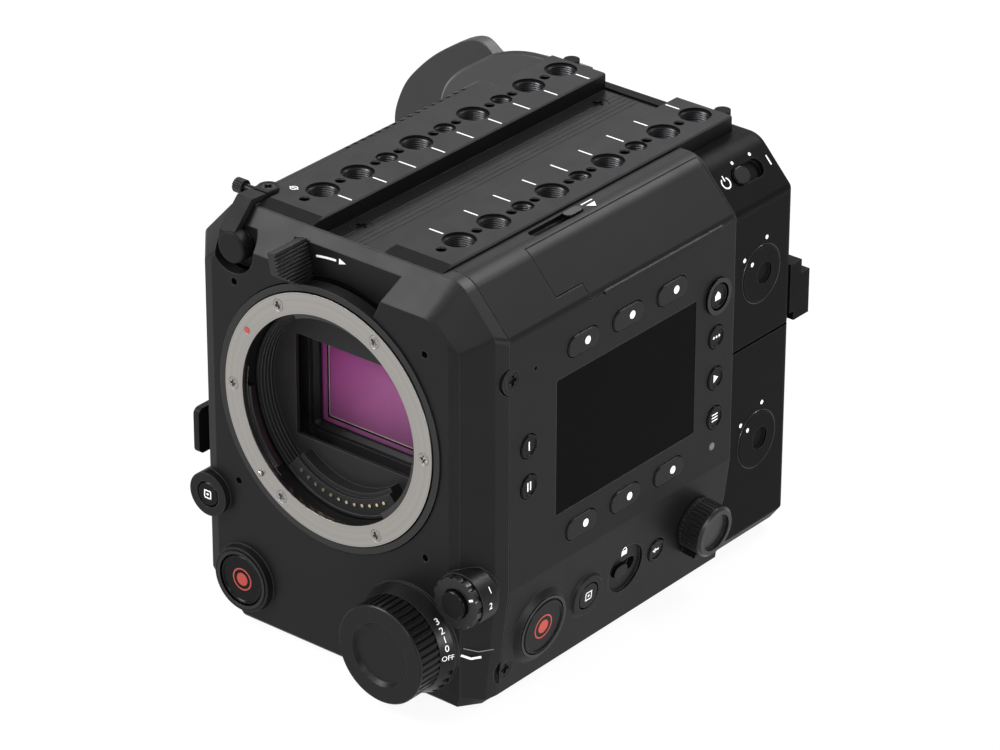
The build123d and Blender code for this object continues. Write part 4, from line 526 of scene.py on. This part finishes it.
@dataclass
class Marks:
    """Thin shapes on one face, gathered into one piece.

    Attributes:
        name: The piece's name.
        face: Where its shapes lie.
        finish: Its finish.
        body: The body it rides on.
        lift: Height of its underside above the face.
        thick: Its thickness.
        mesh: The geometry so far.
    """

    name: str
    face: Face
    finish: Finish
    body: str
    lift: float = INK_LIFT
    thick: float = 0.03
    mesh: bmesh.types.BMesh = field(default_factory=bmesh.new)

    def _raise(self, faces: Iterable[bmesh.types.BMFace]) -> None:
        """Gives flat faces that lie on the face their thickness."""
        lifted = bmesh.ops.extrude_face_region(self.mesh, geom=list(faces), use_keep_orig=True)
        verts = [item for item in lifted["geom"] if isinstance(item, bmesh.types.BMVert)]
        bmesh.ops.translate(self.mesh, verts=verts, vec=self.face.normal * self.thick * MM)

    def _matrix(self, u: float, v: float) -> Matrix:
        """Turns flat work in X and Y into its place on the face."""
        axes = Matrix((self.face.right, self.face.up, self.face.normal)).transposed().to_4x4()
        return Matrix.Translation(self.face.at(u, v, self.lift)) @ axes

    def polygon(self, points: Sequence[Point]) -> None:
        """Adds one filled shape.

        Args:
            points: Its corners in order, in millimetres on the face.
        """
        corners = [self.mesh.verts.new(self.face.at(u, v, self.lift)) for u, v in points]
        self._raise([self.mesh.faces.new(corners)])

    def disc(self, u: float, v: float, r: float, sides: int = 32) -> None:
        """Adds a filled circle.

        Args:
            u: Its centre along the face's first axis.
            v: Its centre along the second axis.
            r: Its radius.
            sides: How many sides it has.
        """
        made = bmesh.ops.create_circle(self.mesh, cap_ends=True, segments=sides, radius=r * MM,
                                       matrix=self._matrix(u, v))
        self._raise({face for vert in made["verts"] for face in vert.link_faces})

    def arc(self, u: float, v: float, r: float, width: float, start: float, end: float,
            steps: int = 24) -> None:
        """Adds a curved band.

        Args:
            u: Its centre along the face's first axis.
            v: Its centre along the second axis.
            r: Its middle radius.
            width: Its width.
            start: The angle in degrees where it starts.
            end: The angle in degrees where it ends.
            steps: How many straight parts it has.
        """
        a = math.radians(start)
        ends = [self.mesh.verts.new(self.face.at(u + d * math.cos(a), v + d * math.sin(a), self.lift))
                for d in (r - width / 2, r + width / 2)]
        edge = self.mesh.edges.new(ends)
        before = set(self.mesh.faces)
        bmesh.ops.spin(self.mesh, geom=[*ends, edge], cent=self.face.at(u, v, self.lift),
                       axis=self.face.normal, angle=math.radians(end - start), steps=steps)
        self._raise([face for face in self.mesh.faces if face not in before])

    def rim(self, u: float, v: float, r: float, thick: float) -> None:
        """Adds a round bead that runs round a circle on the face.

        Args:
            u: The circle's centre along the face's first axis.
            v: Its centre along the second axis.
            r: The circle's radius.
            thick: The bead's thickness.
        """
        start = Matrix.Translation(self.face.at(u + r, v, 0.0)) @ Matrix(
            (self.face.normal, self.face.right, self.face.up)).transposed().to_4x4()
        made = bmesh.ops.create_circle(self.mesh, segments=8, radius=thick / 2 * MM, matrix=start)
        loop = {edge for vert in made["verts"] for edge in vert.link_edges}
        bmesh.ops.spin(self.mesh, geom=[*made["verts"], *loop], cent=self.face.at(u, v, 0.0),
                       axis=self.face.normal, angle=math.tau, steps=72, use_merge=True)

    def text(self, words: str, size: float) -> None:
        """Adds plain numbers or a switch word, centred on the face's origin.

        Args:
            words: What it says.
            size: Letter size in millimetres.
        """
        curve = bpy.data.curves.new("letters", "FONT")
        curve.body = words
        curve.size = size * MM
        curve.align_x = "CENTER"
        curve.align_y = "CENTER"
        curve.resolution_u = 3
        holder = bpy.data.objects.new("letters", curve)
        flat = bpy.data.meshes.new_from_object(holder)
        flat.transform(self._matrix(0.0, 0.0))
        self.mesh.from_mesh(flat)
        self._raise(self.mesh.faces)
        bpy.data.objects.remove(holder)
        bpy.data.curves.remove(curve)
        bpy.data.meshes.remove(flat)

    def bar(self, start: Point, end: Point, width: float) -> None:
        """Adds a straight stroke.

        Args:
            start: Middle of its one end.
            end: Middle of its other end.
            width: Its width.
        """
        (u0, v0), (u1, v1) = start, end
        length = math.hypot(u1 - u0, v1 - v0)
        du, dv = (v1 - v0) / length * width / 2, -(u1 - u0) / length * width / 2
        self.polygon([(u0 + du, v0 + dv), (u1 + du, v1 + dv), (u1 - du, v1 - dv), (u0 - du, v0 - dv)])

    def arrow(self, tip: Point, angle: float, length: float, width: float) -> None:
        """Adds a solid arrow head.

        Args:
            tip: Its tip.
            angle: The way it points, in degrees.
            length: Its length.
            width: Its width at the back.
        """
        a = math.radians(angle)
        along, side = (math.cos(a), math.sin(a)), (-math.sin(a), math.cos(a))
        back = (tip[0] - length * along[0], tip[1] - length * along[1])
        self.polygon([tip, (back[0] + side[0] * width / 2, back[1] + side[1] * width / 2),
                      (back[0] - side[0] * width / 2, back[1] - side[1] * width / 2)])

    def build(self, shop: MaterialShop) -> bpy.types.Object:
        """Makes the piece and lets it ride on its body."""
        bmesh.ops.recalc_face_normals(self.mesh, faces=self.mesh.faces)
        return finish_piece(self.mesh, self.name, shop.get(self.finish), self.body, smooth=False)


@dataclass(frozen=True)
class Sign:
    """A small pictogram about its own centre.

    Attributes:
        outline: Corners of its filled shape, if it has one.
        strokes: Its straight strokes.
        stroke_w: Their width.
        dots: Centres of its dots.
        dot_r: Their radius.
    """

    outline: tuple[Point, ...] = ()
    strokes: tuple[tuple[Point, Point], ...] = ()
    stroke_w: float = 0.4
    dots: tuple[Point, ...] = ()
    dot_r: float = 0.42

    def draw(self, mark: Marks, u: float, v: float, scale: float = 1.0) -> None:
        """Draws it at a place.

        Args:
            mark: The piece it is drawn in.
            u: Its centre along the face's first axis.
            v: Its centre along the second axis.
            scale: Its size, stroke width apart.
        """
        if self.outline:
            mark.polygon([(u + a * scale, v + b * scale) for a, b in self.outline])
        for (a, b), (c, d) in self.strokes:
            mark.bar((u + a * scale, v + b * scale), (u + c * scale, v + d * scale), self.stroke_w)
        for a, b in self.dots:
            mark.disc(u + a * scale, v + b * scale, self.dot_r * scale, 16)


HOUSE = Sign(outline=((-1.3, -1.3), (1.3, -1.3), (1.3, 0.2), (0.0, 1.5), (-1.3, 0.2)))
THREE_DOTS = Sign(dots=((-1.3, 0.0), (0.0, 0.0), (1.3, 0.0)))
TRIANGLE = Sign(outline=((-0.9, -1.3), (1.3, 0.0), (-0.9, 1.3)))
THREE_LINES = Sign(strokes=tuple(((-1.4, step), (1.4, step)) for step in (-1.0, 0.0, 1.0)))
ONE_STROKE = Sign(strokes=(((0.0, -1.4), (0.0, 1.4)),), stroke_w=0.5)
TWO_STROKES = Sign(strokes=tuple(((step, -1.4), (step, 1.4)) for step in (-0.6, 0.6)), stroke_w=0.5)
TARGET = Sign(strokes=(((-1, -1), (1, -1)), ((1, -1), (1, 1)), ((1, 1), (-1, 1)), ((-1, 1), (-1, -1))),
              dots=((0, 0),), dot_r=1 / 3)
LOCK_BODY = Sign(outline=((-1.3, -1.0), (1.3, -1.0), (1.3, 0.7), (-1.3, 0.7)))


def finish_piece(mesh: bmesh.types.BMesh, name: str, material: bpy.types.Material, body: str,
                 smooth: bool = True) -> bpy.types.Object:
    """Turns a bmesh into an object that rides on a body.

    Args:
        mesh: The geometry in metres; it is freed.
        name: The object's name.
        material: Its one material.
        body: The body it moves with.
        smooth: Whether its faces are shaded smooth below 35 degrees.

    Returns:
        The new object.
    """
    data = bpy.data.meshes.new(name)
    mesh.to_mesh(data)
    mesh.free()
    data.materials.append(material)
    piece = bpy.data.objects.new(name, data)
    bpy.context.scene.collection.objects.link(piece)
    if smooth:
        data.shade_smooth()
        data.set_sharp_from_angle(angle=math.radians(35))
    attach(piece, body)
    return piece


@dataclass
class Assembly:
    """A group of pieces made together.

    Attributes:
        shop: Where materials come from.
        pieces: What has been made so far.
    """

    shop: MaterialShop
    pieces: list[bpy.types.Object] = field(default_factory=list)

    def build(self) -> None:
        """Makes the pieces."""
        raise NotImplementedError

    def keep(self, *marks: Marks) -> None:
        """Makes marks into pieces and remembers them."""
        self.pieces.extend(mark.build(self.shop) for mark in marks)


@dataclass
class TopMarks(Assembly):
    """Tick lines along the rails and the focal plane sign."""

    rail_z: float = 54.8
    middle_y: float = 82.9
    large: tuple[float, ...] = (13.0, 39.2, 54.5)
    medium: tuple[float, ...] = (0.0, 26.2)
    inner_x: float = 14.5
    large_x: float = 19.6
    medium_x: float = 20.9
    tick_w: float = 0.5
    plane_sign: Point = (-32.5, 23.9)
    plane_r: float = 1.05
    plane_half: float = 1.7
    plane_w: float = 0.35

    def build(self) -> None:
        """Makes both sets of marks."""
        ticks = Marks("rail_ticks", top_face(self.rail_z), WHITE_INK, BODY)
        rows = [(self.middle_y + s * d, self.large_x) for d in self.large for s in (-1, 1)]
        rows += [(self.middle_y + s * d, self.medium_x) for d in self.medium for s in (-1, 1) if d or s > 0]
        for side in (-1, 1):
            for y, outer in rows:
                ticks.bar((side * self.inner_x, y), (side * outer, y), self.tick_w)
        sign = Marks("focal_plane_sign", top_face(self.rail_z), WHITE_INK, BODY)
        x, y = self.plane_sign
        sign.arc(x, y, self.plane_r, self.plane_w, 0, 360)
        sign.bar((x - self.plane_half, y), (x + self.plane_half, y), self.plane_w)
        self.keep(ticks, sign)


@dataclass
class RailThreads(Assembly):
    """Metal threaded walls in the holes of both rails.

    Each row of `sets` is a hole radius, the depth of the first turn and the distances from the middle.
    """

    rail_x: float = 25.5
    middle_y: float = 82.9
    sets: tuple[tuple[float, float, tuple[float, ...]], ...] = (
        (4.4, 0.85, (13.0, 39.2, 54.5)),
        (2.9, 0.85, (0.0, 26.2)),
        (1.6, 0.1, (5.2, 20.8, 31.3, 46.8)),
    )
    small_r: float = 1.6
    first_small: float = 62.4
    top: float = 54.8
    turns: int = 7
    pitch: float = 0.7
    ridge: float = 0.25
    ridge_full_r: float = 3.0
    sunk: float = 0.02
    valley: float = 0.03
    foot: float = 0.05

    def build(self) -> None:
        """Makes one piece with all the threads: a ring of small ridges down each hole."""
        mesh = bmesh.new()
        for r, start, offsets in self.sets:
            ys = {self.middle_y + s * d for d in offsets for s in (-1, 1)}
            if r == self.small_r:
                ys.add(self.middle_y - self.first_small)
            for y in sorted(ys):
                for side in (-1, 1):
                    self._thread(mesh, side * self.rail_x, y, r, start)
        bmesh.ops.recalc_face_normals(mesh, faces=mesh.faces)
        self.pieces.append(finish_piece(mesh, "rail_threads", self.shop.get(THREAD), BODY))

    def _thread(self, mesh: bmesh.types.BMesh, x: float, y: float, r: float, start: float) -> None:
        """Spins one hole's toothed wall about its axis.

        Args:
            mesh: Where it is added.
            x: The hole's place across the camera.
            y: The hole's place along the camera.
            r: The hole's radius.
            start: Depth of the first turn below the rail's top.
        """
        crest = r - self.ridge * min(1.0, r / self.ridge_full_r)
        profile = [(r + self.sunk, start)]
        for turn in range(self.turns):
            z = start + turn * self.pitch
            profile += [(crest, z + self.pitch / 2), (r - self.valley, z + self.pitch)]
        profile.append((r + self.sunk, profile[-1][1] + self.foot))
        verts = [mesh.verts.new(Vector((x + d, y, self.top - z)) * MM) for d, z in profile]
        edges = [mesh.edges.new(pair) for pair in zip(verts, verts[1:])]
        edges.append(mesh.edges.new((verts[-1], verts[0])))
        bmesh.ops.spin(mesh, geom=[*verts, *edges], cent=Vector((x, y, 0.0)) * MM, axis=(0.0, 0.0, 1.0),
                       angle=math.tau, steps=32, use_merge=True)


@dataclass
class FrontMarks(Assembly):
    """Marks on the front: the mount, the sensor's border, the record button, the dial and the focus knob."""

    index_r: float = 35.7
    index_angle: float = 147.6
    index_dot_r: float = 1.0
    recess_y: float = 6.8
    arrow_r: float = 47.9
    arrow_w: float = 0.7
    arrow_span: Point = (101.0, 92.0)
    arrow_tip_angle: float = 87.6
    arrow_aim: float = -3.0
    arrow_head: Point = (2.6, 1.9)
    dial: Point = (30.1, -60.4)
    record: Point = (-33.6, -64.3)
    record_y: float = -1.2
    record_cap: float = 0.4
    record_rim_r: float = 8.95
    record_rim: float = 0.25
    record_dot_r: float = 2.1
    record_ring_r: float = 3.4
    record_ring_w: float = 0.5
    mode_numbers: tuple[tuple[str, float, float], ...] = (
        ("3", 41.0, 2.9), ("2", 30.5, 2.9), ("1", 21.0, 2.9), ("0", 11.5, 2.9), ("OFF", 1.0, 2.3))
    mode_y: float = -2.1
    mode_r: float = 16.5
    mode_flare: float = 0.46
    mode_lift: float = 0.06
    mode_index: tuple[Point, ...] = ((6.2, -61.7), (3.2, -62.0), (0.3, -60.6))
    mode_index_w: float = 0.75
    mode_line: tuple[Point, ...] = ((9.8, -59.5), (5.4, -59.9), (1.0, -58.4))
    mode_line_w: float = 0.25
    focus: Point = (50.2, -40.3)
    focus_numbers: tuple[tuple[str, float, float], ...] = (("1", 3.4, 29.5), ("2", 2.4, -1.0))
    focus_number_size: float = 3.0
    focus_lift: float = 0.12
    focus_seat_r: float = 8.4
    focus_knob_y: float = -3.0
    tick_angle: float = 27.5
    tick_span: Point = (5.6, 7.2)
    tick_w: float = 0.7
    claw_y: float = 1.5
    claw_r: float = 31.9
    claw_w: float = 0.28
    claw_span: Point = (168.0, 233.0)
    sensor_y: float = 26.3
    sensor_half: Point = (21.9, 16.45)
    border_w: float = 0.95
    edge_w: float = 0.3
    edge_rise: float = 0.06

    def build(self) -> None:
        """Makes the marks of the front."""
        self._dial_marks()
        self._focus_marks()
        self._mount_lines()
        index = Marks("lens_index", front_face(0.0), RED_INK, BODY)
        index.disc(*round_point((0.0, 0.0), self.index_r, self.index_angle), self.index_dot_r)
        arrow = Marks("release_arrow", front_face(self.recess_y), WHITE_INK, BODY)
        arrow.arc(0.0, 0.0, self.arrow_r, self.arrow_w, *self.arrow_span)
        tip = round_point((0.0, 0.0), self.arrow_r, self.arrow_tip_angle)
        arrow.arrow(tip, self.arrow_aim, *self.arrow_head)
        # A bright metal rim stands in for the highlight on the record seat's edge.
        seats = Marks("front_seat_highlight_rims", front_face(self.record_y), HIGHLIGHT_RIM, BODY)
        seats.rim(*self.record, self.record_rim_r, self.record_rim)
        record = Marks("record_sign", front_face(self.record_y + self.record_cap), RED_INK,
                       "front_record_button")
        record.disc(*self.record, self.record_dot_r)
        record.arc(*self.record, self.record_ring_r, self.record_ring_w, 0, 360, 36)
        self.keep(index, arrow, seats, record)

    def _dial_marks(self) -> None:
        """Numbers on the mode ring and its bent index on the housing."""
        x, z = self.dial
        for i, (words, angle, size) in enumerate(self.mode_numbers):
            face = round_face((x, self.mode_y, z), self.mode_r, angle, self.mode_flare)
            number = Marks(f"mode_number_{i + 1}", face, WHITE_INK, "nd_mode_ring", self.mode_lift)
            number.text(words, size)
            self.keep(number)
        index = Marks("mode_index", SIDE_BEVEL, WHITE_INK, BODY)
        line = Marks("mode_line", SIDE_BEVEL, DIM_INK, BODY)
        for mark, points, width in ((index, self.mode_index, self.mode_index_w),
                                    (line, self.mode_line, self.mode_line_w)):
            for start, end in zip(points, points[1:]):
                mark.bar(start, end, width)
        self.keep(index, line)

    def _mount_lines(self) -> None:
        """Painted highlight along the lower claw's edge, and the sensor's dark border with its light edge."""
        # A bright metal band painted on the lower claw's edge where its highlight falls.
        claw = Marks("claw_edge_highlight", front_face(self.claw_y), CLAW_HIGHLIGHT, BODY)
        claw.arc(0.0, 0.0, self.claw_r, self.claw_w, *self.claw_span, 40)
        x, z = self.sensor_half
        w = self.border_w
        border = Marks("sensor_border", front_face(self.sensor_y), INNER, BODY)
        edges = Marks("sensor_edges", front_face(self.sensor_y - self.edge_rise), SENSOR_EDGE, BODY)
        half = self.edge_w / 2
        for side in (-1, 1):
            border.bar((side * (x + w / 2), -z - w), (side * (x + w / 2), z + w), w)
            border.bar((-x, side * (z + w / 2)), (x, side * (z + w / 2)), w)
            edges.bar((side * (x + half), -z), (side * (x + half), z), self.edge_w)
            edges.bar((-x, side * (z + half)), (x, side * (z + half)), self.edge_w)
        self.keep(claw, border, edges)

    def _focus_marks(self) -> None:
        """Numbers on the focus knob's seat and the tick on its front."""
        x, z = self.focus
        for i, (words, y, angle) in enumerate(self.focus_numbers):
            face = round_face((x, y, z), self.focus_seat_r, angle)
            number = Marks(f"focus_number_{i + 1}", face, WHITE_INK, BODY, self.focus_lift)
            number.text(words, self.focus_number_size)
            self.keep(number)
        tick = Marks("focus_tick", front_face(self.focus_knob_y), WHITE_INK, "focus_mode_knob")
        inner, outer = (round_point(self.focus, r, self.tick_angle) for r in self.tick_span)
        tick.bar(inner, outer, self.tick_w)
        self.keep(tick)


@dataclass
class SideMarks(Assembly):
    """Dots and plain signs on the display side, the lower strip and beside the eject slider."""

    side_x: float = 56.0
    cap: float = 0.5
    dish: float = 0.4
    keys: tuple[Point, ...] = tuple((y, z) for z in (25.5, -33.9) for y in (46.5, 67.0, 87.6))
    key_dot_shift: float = 1.6
    key_dot_r: float = 1.25
    signs: tuple[tuple[str, Point, Sign], ...] = (
        ("home_button", (109.8, 15.3), HOUSE),
        ("user_button", (109.6, 1.9), THREE_DOTS),
        ("play_button", (109.6, -11.8), TRIANGLE),
        ("menu_button", (109.7, -25.0), THREE_LINES),
        ("function_button_1", (22.4, 1.8), ONE_STROKE),
        ("function_button_2", (22.5, -11.2), TWO_STROKES),
    )
    record: Point = (30.7, -61.1)
    record_seat: float = 1.3
    record_dot_r: float = 2.2
    record_ring_r: float = 3.7
    record_ring_w: float = 0.5
    back_z: float = -60.2
    back_tip_y: float = 83.6
    back_bar: Point = (84.3, 86.6)
    back_bar_w: float = 0.5
    back_head: Point = (1.4, 1.8)
    grab: Point = (52.3, -60.8)
    grab_seat: float = 0.9
    grab_half: float = 1.3
    lock: Point = (69.0, -53.6)
    shackle_rise: float = 0.7
    shackle_r: float = 0.85
    shackle_w: float = 0.35
    front_grab: Point = (-46.0, -39.8)
    front_grab_y: float = -1.4
    front_grab_half: float = 1.2
    eject_z: float = 53.8
    eject_bar: tuple[Point, Point] = ((36.6, 69.4), (36.6, 74.4))
    eject_bar_w: float = 0.45
    eject_arrow: tuple[Point, ...] = ((38.0, 70.0), (40.2, 71.9), (38.0, 73.8))

    def build(self) -> None:
        """Makes the marks of the side."""
        for i, (y, z) in enumerate(self.keys):
            dot = Marks(f"key_dot_{i + 1}", side_face(self.side_x + self.cap), WHITE_INK, f"soft_key_{i + 1}")
            dot.disc(y + self.key_dot_shift, z, self.key_dot_r)
            self.keep(dot)
        level = self.cap - self.dish
        for node, place, sign in self.signs:
            mark = Marks(f"{node}_sign", side_face(self.side_x + level), WHITE_INK, node)
            sign.draw(mark, *place)
            self.keep(mark)
        record = Marks("side_record_sign", STRIP, RED_INK, "side_record_button",
                       self.record_seat + level + INK_LIFT)
        place = self._strip(self.record)
        record.disc(*place, self.record_dot_r)
        record.arc(*place, self.record_ring_r, self.record_ring_w, 0, 360, 36)
        back = Marks("back_sign", STRIP, WHITE_INK, "back_button", level + INK_LIFT)
        tip = self._strip((self.back_tip_y, self.back_z))
        start, end = self.back_bar
        back.bar((start, tip[1]), (end, tip[1]), self.back_bar_w)
        back.arrow(tip, 180.0, *self.back_head)
        grab = Marks("grab_sign", STRIP, WHITE_INK, "side_grab_button", self.grab_seat + INK_LIFT)
        TARGET.draw(grab, *self._strip(self.grab), self.grab_half)
        lock = Marks("lock_sign", STRIP, WHITE_INK, BODY)
        u, v = self._strip(self.lock)
        LOCK_BODY.draw(lock, u, v)
        lock.arc(u, v + self.shackle_rise, self.shackle_r, self.shackle_w, 0, 180, 12)
        front = Marks("front_grab_sign", front_face(self.front_grab_y), WHITE_INK, "left_grab_button")
        TARGET.draw(front, *self.front_grab, self.front_grab_half)
        eject = Marks("eject_sign", top_face(self.eject_z), WHITE_INK, BODY)
        eject.bar(*self.eject_bar, self.eject_bar_w)
        eject.polygon(self.eject_arrow)
        self.keep(record, back, grab, lock, front, eject)

    @staticmethod
    def _strip(place: Point) -> Point:
        """Place on the leaning strip of a y and a height z."""
        return place[0], (place[1] - BELT_Z) / math.cos(STRIP_LEAN)


@dataclass
class RearMarks(Assembly):
    """Bright metal rims that stand in for the highlights on the knob wells' edges, dots round the door knobs,
    and the signs of the power switch.

    Each row of `knobs` is a door's name, its knob's height, the two dots beside the knob and the dot on it.
    """

    side_x: float = 54.0
    knob_face: float = 54.4
    knob_y: float = 133.8
    well_r: float = 9.3
    well_rim: float = 0.3
    dot_r: float = 0.7
    knobs: tuple[tuple[str, float, tuple[Point, Point], Point], ...] = (
        ("upper", 12.7, ((125.4, 20.1), (136.2, 23.9)), (128.7, 17.6)),
        ("lower", -43.0, ((125.7, -35.2), (136.1, -31.4)), (128.7, -37.9)),
    )
    power: Point = (124.4, 43.7)
    power_r: float = 1.7
    power_span: Point = (125.0, 415.0)
    power_w: float = 0.45
    power_stem: Point = (0.6, 2.4)
    on_y: float = 145.2
    on_half: float = 1.6
    on_w: float = 0.5
    power_dots: tuple[Point, ...] = ((131.0, 46.9), (139.4, 46.8))
    power_dot_r: float = 0.55

    def build(self) -> None:
        """Makes the marks of the rear section."""
        for name, knob_z, dots, on_knob in self.knobs:
            # A bright metal rim stands in for the highlight on the knob well's edge.
            well = Marks(f"{name}_knob_highlight_rim", side_face(self.side_x), HIGHLIGHT_RIM, f"{name}_door")
            well.rim(self.knob_y, knob_z, self.well_r, self.well_rim)
            still = Marks(f"{name}_knob_dots", side_face(self.side_x), WHITE_INK, f"{name}_door")
            for y, z in dots:
                still.disc(y, z, self.dot_r, 20)
            moving = Marks(f"{name}_knob_mark", side_face(self.knob_face), WHITE_INK, f"{name}_door_knob")
            moving.disc(*on_knob, self.dot_r, 20)
            self.keep(well, still, moving)
        power = Marks("power_signs", REAR_SLOPE, WHITE_INK, BODY)
        u, v = self._slope(self.power)
        power.arc(u, v, self.power_r, self.power_w, *self.power_span)
        low, high = self.power_stem
        power.bar((u, v + low), (u, v + high), self.power_w)
        power.bar((self.on_y, v - self.on_half), (self.on_y, v + self.on_half), self.on_w)
        for dot in self.power_dots:
            power.disc(*self._slope(dot), self.power_dot_r, 16)
        self.keep(power)

    @staticmethod
    def _slope(place: Point) -> Point:
        """Place on the rear slope of a y and a height z."""
        return place[0], (place[1] - SLOPE_Z) / math.cos(SLOPE_LEAN)


@dataclass(frozen=True)
class Lamp:
    """One soft rectangular lamp, in metres and watts.

    Attributes:
        name: Its name.
        place: Where it hangs.
        size: Its width and height.
        watts: Its strength.
    """

    name: str
    place: Place
    size: Point
    watts: float


@dataclass
class Studio:
    """Floor, lights and the camera at the photograph's view.

    The camera's place and the floor's height are millimetres; clip, floor_half, aim and the lamps are metres.
    """

    focal_px: float = 5047.57
    width_px: int = 1000
    sensor_width: float = 36.0
    azimuth: float = 39.3201
    elevation: float = 27.7573
    roll: float = 0.1791
    camera_at: Place = (841.7, -949.8, 682.3)
    clip: Point = (0.05, 20.0)
    floor_z: float = -79.55
    floor_half: float = 4.0
    floor_tone: float = 0.93
    floor_roughness: float = 0.9
    floor_white: float = 0.93
    world: float = 0.4
    aim: Place = (0.0, 0.06, 0.0)
    lamps: tuple[Lamp, ...] = (
        Lamp("hood_light", (-0.78, -0.72, 0.92), (0.7, 0.5), 20.0),
        Lamp("slope_light", (0.7, 1.09, 0.85), (0.5, 0.3), 2.0),
        Lamp("shoulder_light", (0.1, 1.07, 1.08), (0.8, 0.25), 17.0),
        Lamp("ridge_light", (0.42, 1.09, 1.06), (0.25, 0.2), 5.0),
        Lamp("rail_light", (-0.84, 1.09, 0.7), (0.8, 0.3), 3.0),
        Lamp("corner_light", (-0.07, -1.1, 0.97), (0.3, 0.25), 3.0),
        Lamp("camera_light", (0.56, -1.12, 0.72), (0.4, 0.3), 4.0),
        Lamp("side_light", (1.35, -0.02, 0.12), (0.5, 0.4), 12.0),
    )

    def build(self) -> None:
        """Makes the camera, the floor, the world and the lamps."""
        self._camera()
        self._floor()
        self._world()
        for lamp in self.lamps:
            self._lamp(lamp)

    def _camera(self) -> None:
        """Sets the camera where the photograph was taken from."""
        a, e, r = (math.radians(v) for v in (self.azimuth, self.elevation, self.roll))
        right = Vector((math.cos(a), math.sin(a), 0.0))
        ahead = Vector((-math.sin(a) * math.cos(e), math.cos(a) * math.cos(e), -math.sin(e)))
        up = Vector((-math.sin(a) * math.sin(e), math.cos(a) * math.sin(e), math.cos(e)))
        side = math.cos(r) * right + math.sin(r) * up
        top = math.cos(r) * up - math.sin(r) * right
        data = bpy.data.cameras.new("camera")
        data.sensor_width = self.sensor_width
        data.lens = self.focal_px / self.width_px * data.sensor_width
        camera = bpy.data.objects.new("camera", data)
        camera.matrix_world = Matrix.Translation(Vector(self.camera_at) * MM) @ Matrix(
            (side, top, -ahead)).transposed().to_4x4()
        data.clip_start, data.clip_end = self.clip
        bpy.context.scene.collection.objects.link(camera)
        bpy.context.scene.camera = camera

    def _floor(self) -> None:
        """Lays the pale floor."""
        mesh = bmesh.new()
        bmesh.ops.create_grid(mesh, x_segments=1, y_segments=1, size=self.floor_half)
        bmesh.ops.translate(mesh, verts=mesh.verts, vec=(0.0, 0.0, self.floor_z * MM))
        data = bpy.data.meshes.new("floor")
        mesh.to_mesh(data)
        mesh.free()
        data.materials.append(self._floor_material())
        floor = bpy.data.objects.new("floor", data)
        bpy.context.scene.collection.objects.link(floor)

    def _floor_material(self) -> bpy.types.Material:
        """Pale paint that shows nearly white to the camera, to gloss and through glass.

        Returns:
            The floor's material.
        """
        material = bpy.data.materials.new("floor")
        material.use_nodes = True
        tree = material.node_tree
        shader = tree.nodes["Principled BSDF"]
        shader.inputs["Base Color"].default_value = (self.floor_tone, self.floor_tone, self.floor_tone, 1.0)
        shader.inputs["Roughness"].default_value = self.floor_roughness
        white = tree.nodes.new("ShaderNodeEmission")
        white.inputs["Strength"].default_value = 1.0
        path = tree.nodes.new("ShaderNodeLightPath")
        seen = path.outputs["Is Camera Ray"]
        for ray in ("Is Glossy Ray", "Is Transmission Ray"):
            seen = math_node(tree, "MAXIMUM", seen, path.outputs[ray])
        mix = tree.nodes.new("ShaderNodeMixShader")
        tree.links.new(math_node(tree, "MULTIPLY", seen, self.floor_white), mix.inputs["Fac"])
        tree.links.new(shader.outputs["BSDF"], mix.inputs[1])
        tree.links.new(white.outputs["Emission"], mix.inputs[2])
        tree.links.new(mix.outputs["Shader"], tree.nodes["Material Output"].inputs["Surface"])
        return material

    def _world(self) -> None:
        """Sets the even light from all round and the plain view transform."""
        scene = bpy.context.scene
        world = bpy.data.worlds.new("studio")
        world.use_nodes = True
        background = world.node_tree.nodes["Background"]
        background.inputs["Color"].default_value = (1.0, 1.0, 1.0, 1.0)
        background.inputs["Strength"].default_value = self.world
        scene.world = world
        scene.view_settings.view_transform = "Standard"

    def _lamp(self, lamp: Lamp) -> None:
        """Hangs one lamp, turned to the camera body.

        Args:
            lamp: The lamp.
        """
        data = bpy.data.lights.new(lamp.name, "AREA")
        data.shape = "RECTANGLE"
        data.size, data.size_y = lamp.size
        data.energy = lamp.watts
        holder = bpy.data.objects.new(lamp.name, data)
        holder.location = lamp.place
        aim = Vector(self.aim) - Vector(lamp.place)
        holder.rotation_euler = aim.to_track_quat("-Z", "Y").to_euler()
        bpy.context.scene.collection.objects.link(holder)


def dress_nodes(nodes: dict[str, bpy.types.Object], shop: MaterialShop) -> None:
    """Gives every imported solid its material.

    Args:
        nodes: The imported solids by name.
        shop: Where materials come from.
    """
    for name, node in nodes.items():
        finish = NODE_FINISHES.get(name, KEY if name.startswith(KEY_PREFIX) else BUTTON)
        node.data.materials.clear()
        node.data.materials.append(shop.get(finish))
        LOG.info("%s: %s", name, finish.name)


def main() -> None:
    """Builds the whole scene and reports each piece."""
    logging.basicConfig(level=logging.WARNING)
    LOG.setLevel(logging.INFO)
    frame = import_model()
    shop = MaterialShop()
    dress_nodes(frame["nodes"], shop)
    for group in (TopMarks(shop), RailThreads(shop), FrontMarks(shop), SideMarks(shop), RearMarks(shop)):
        group.build()
        for piece in group.pieces:
            LOG.info("%s: %s", type(group).__name__, piece.name)
    Studio().build()


if __name__ == "__main__":
    main()
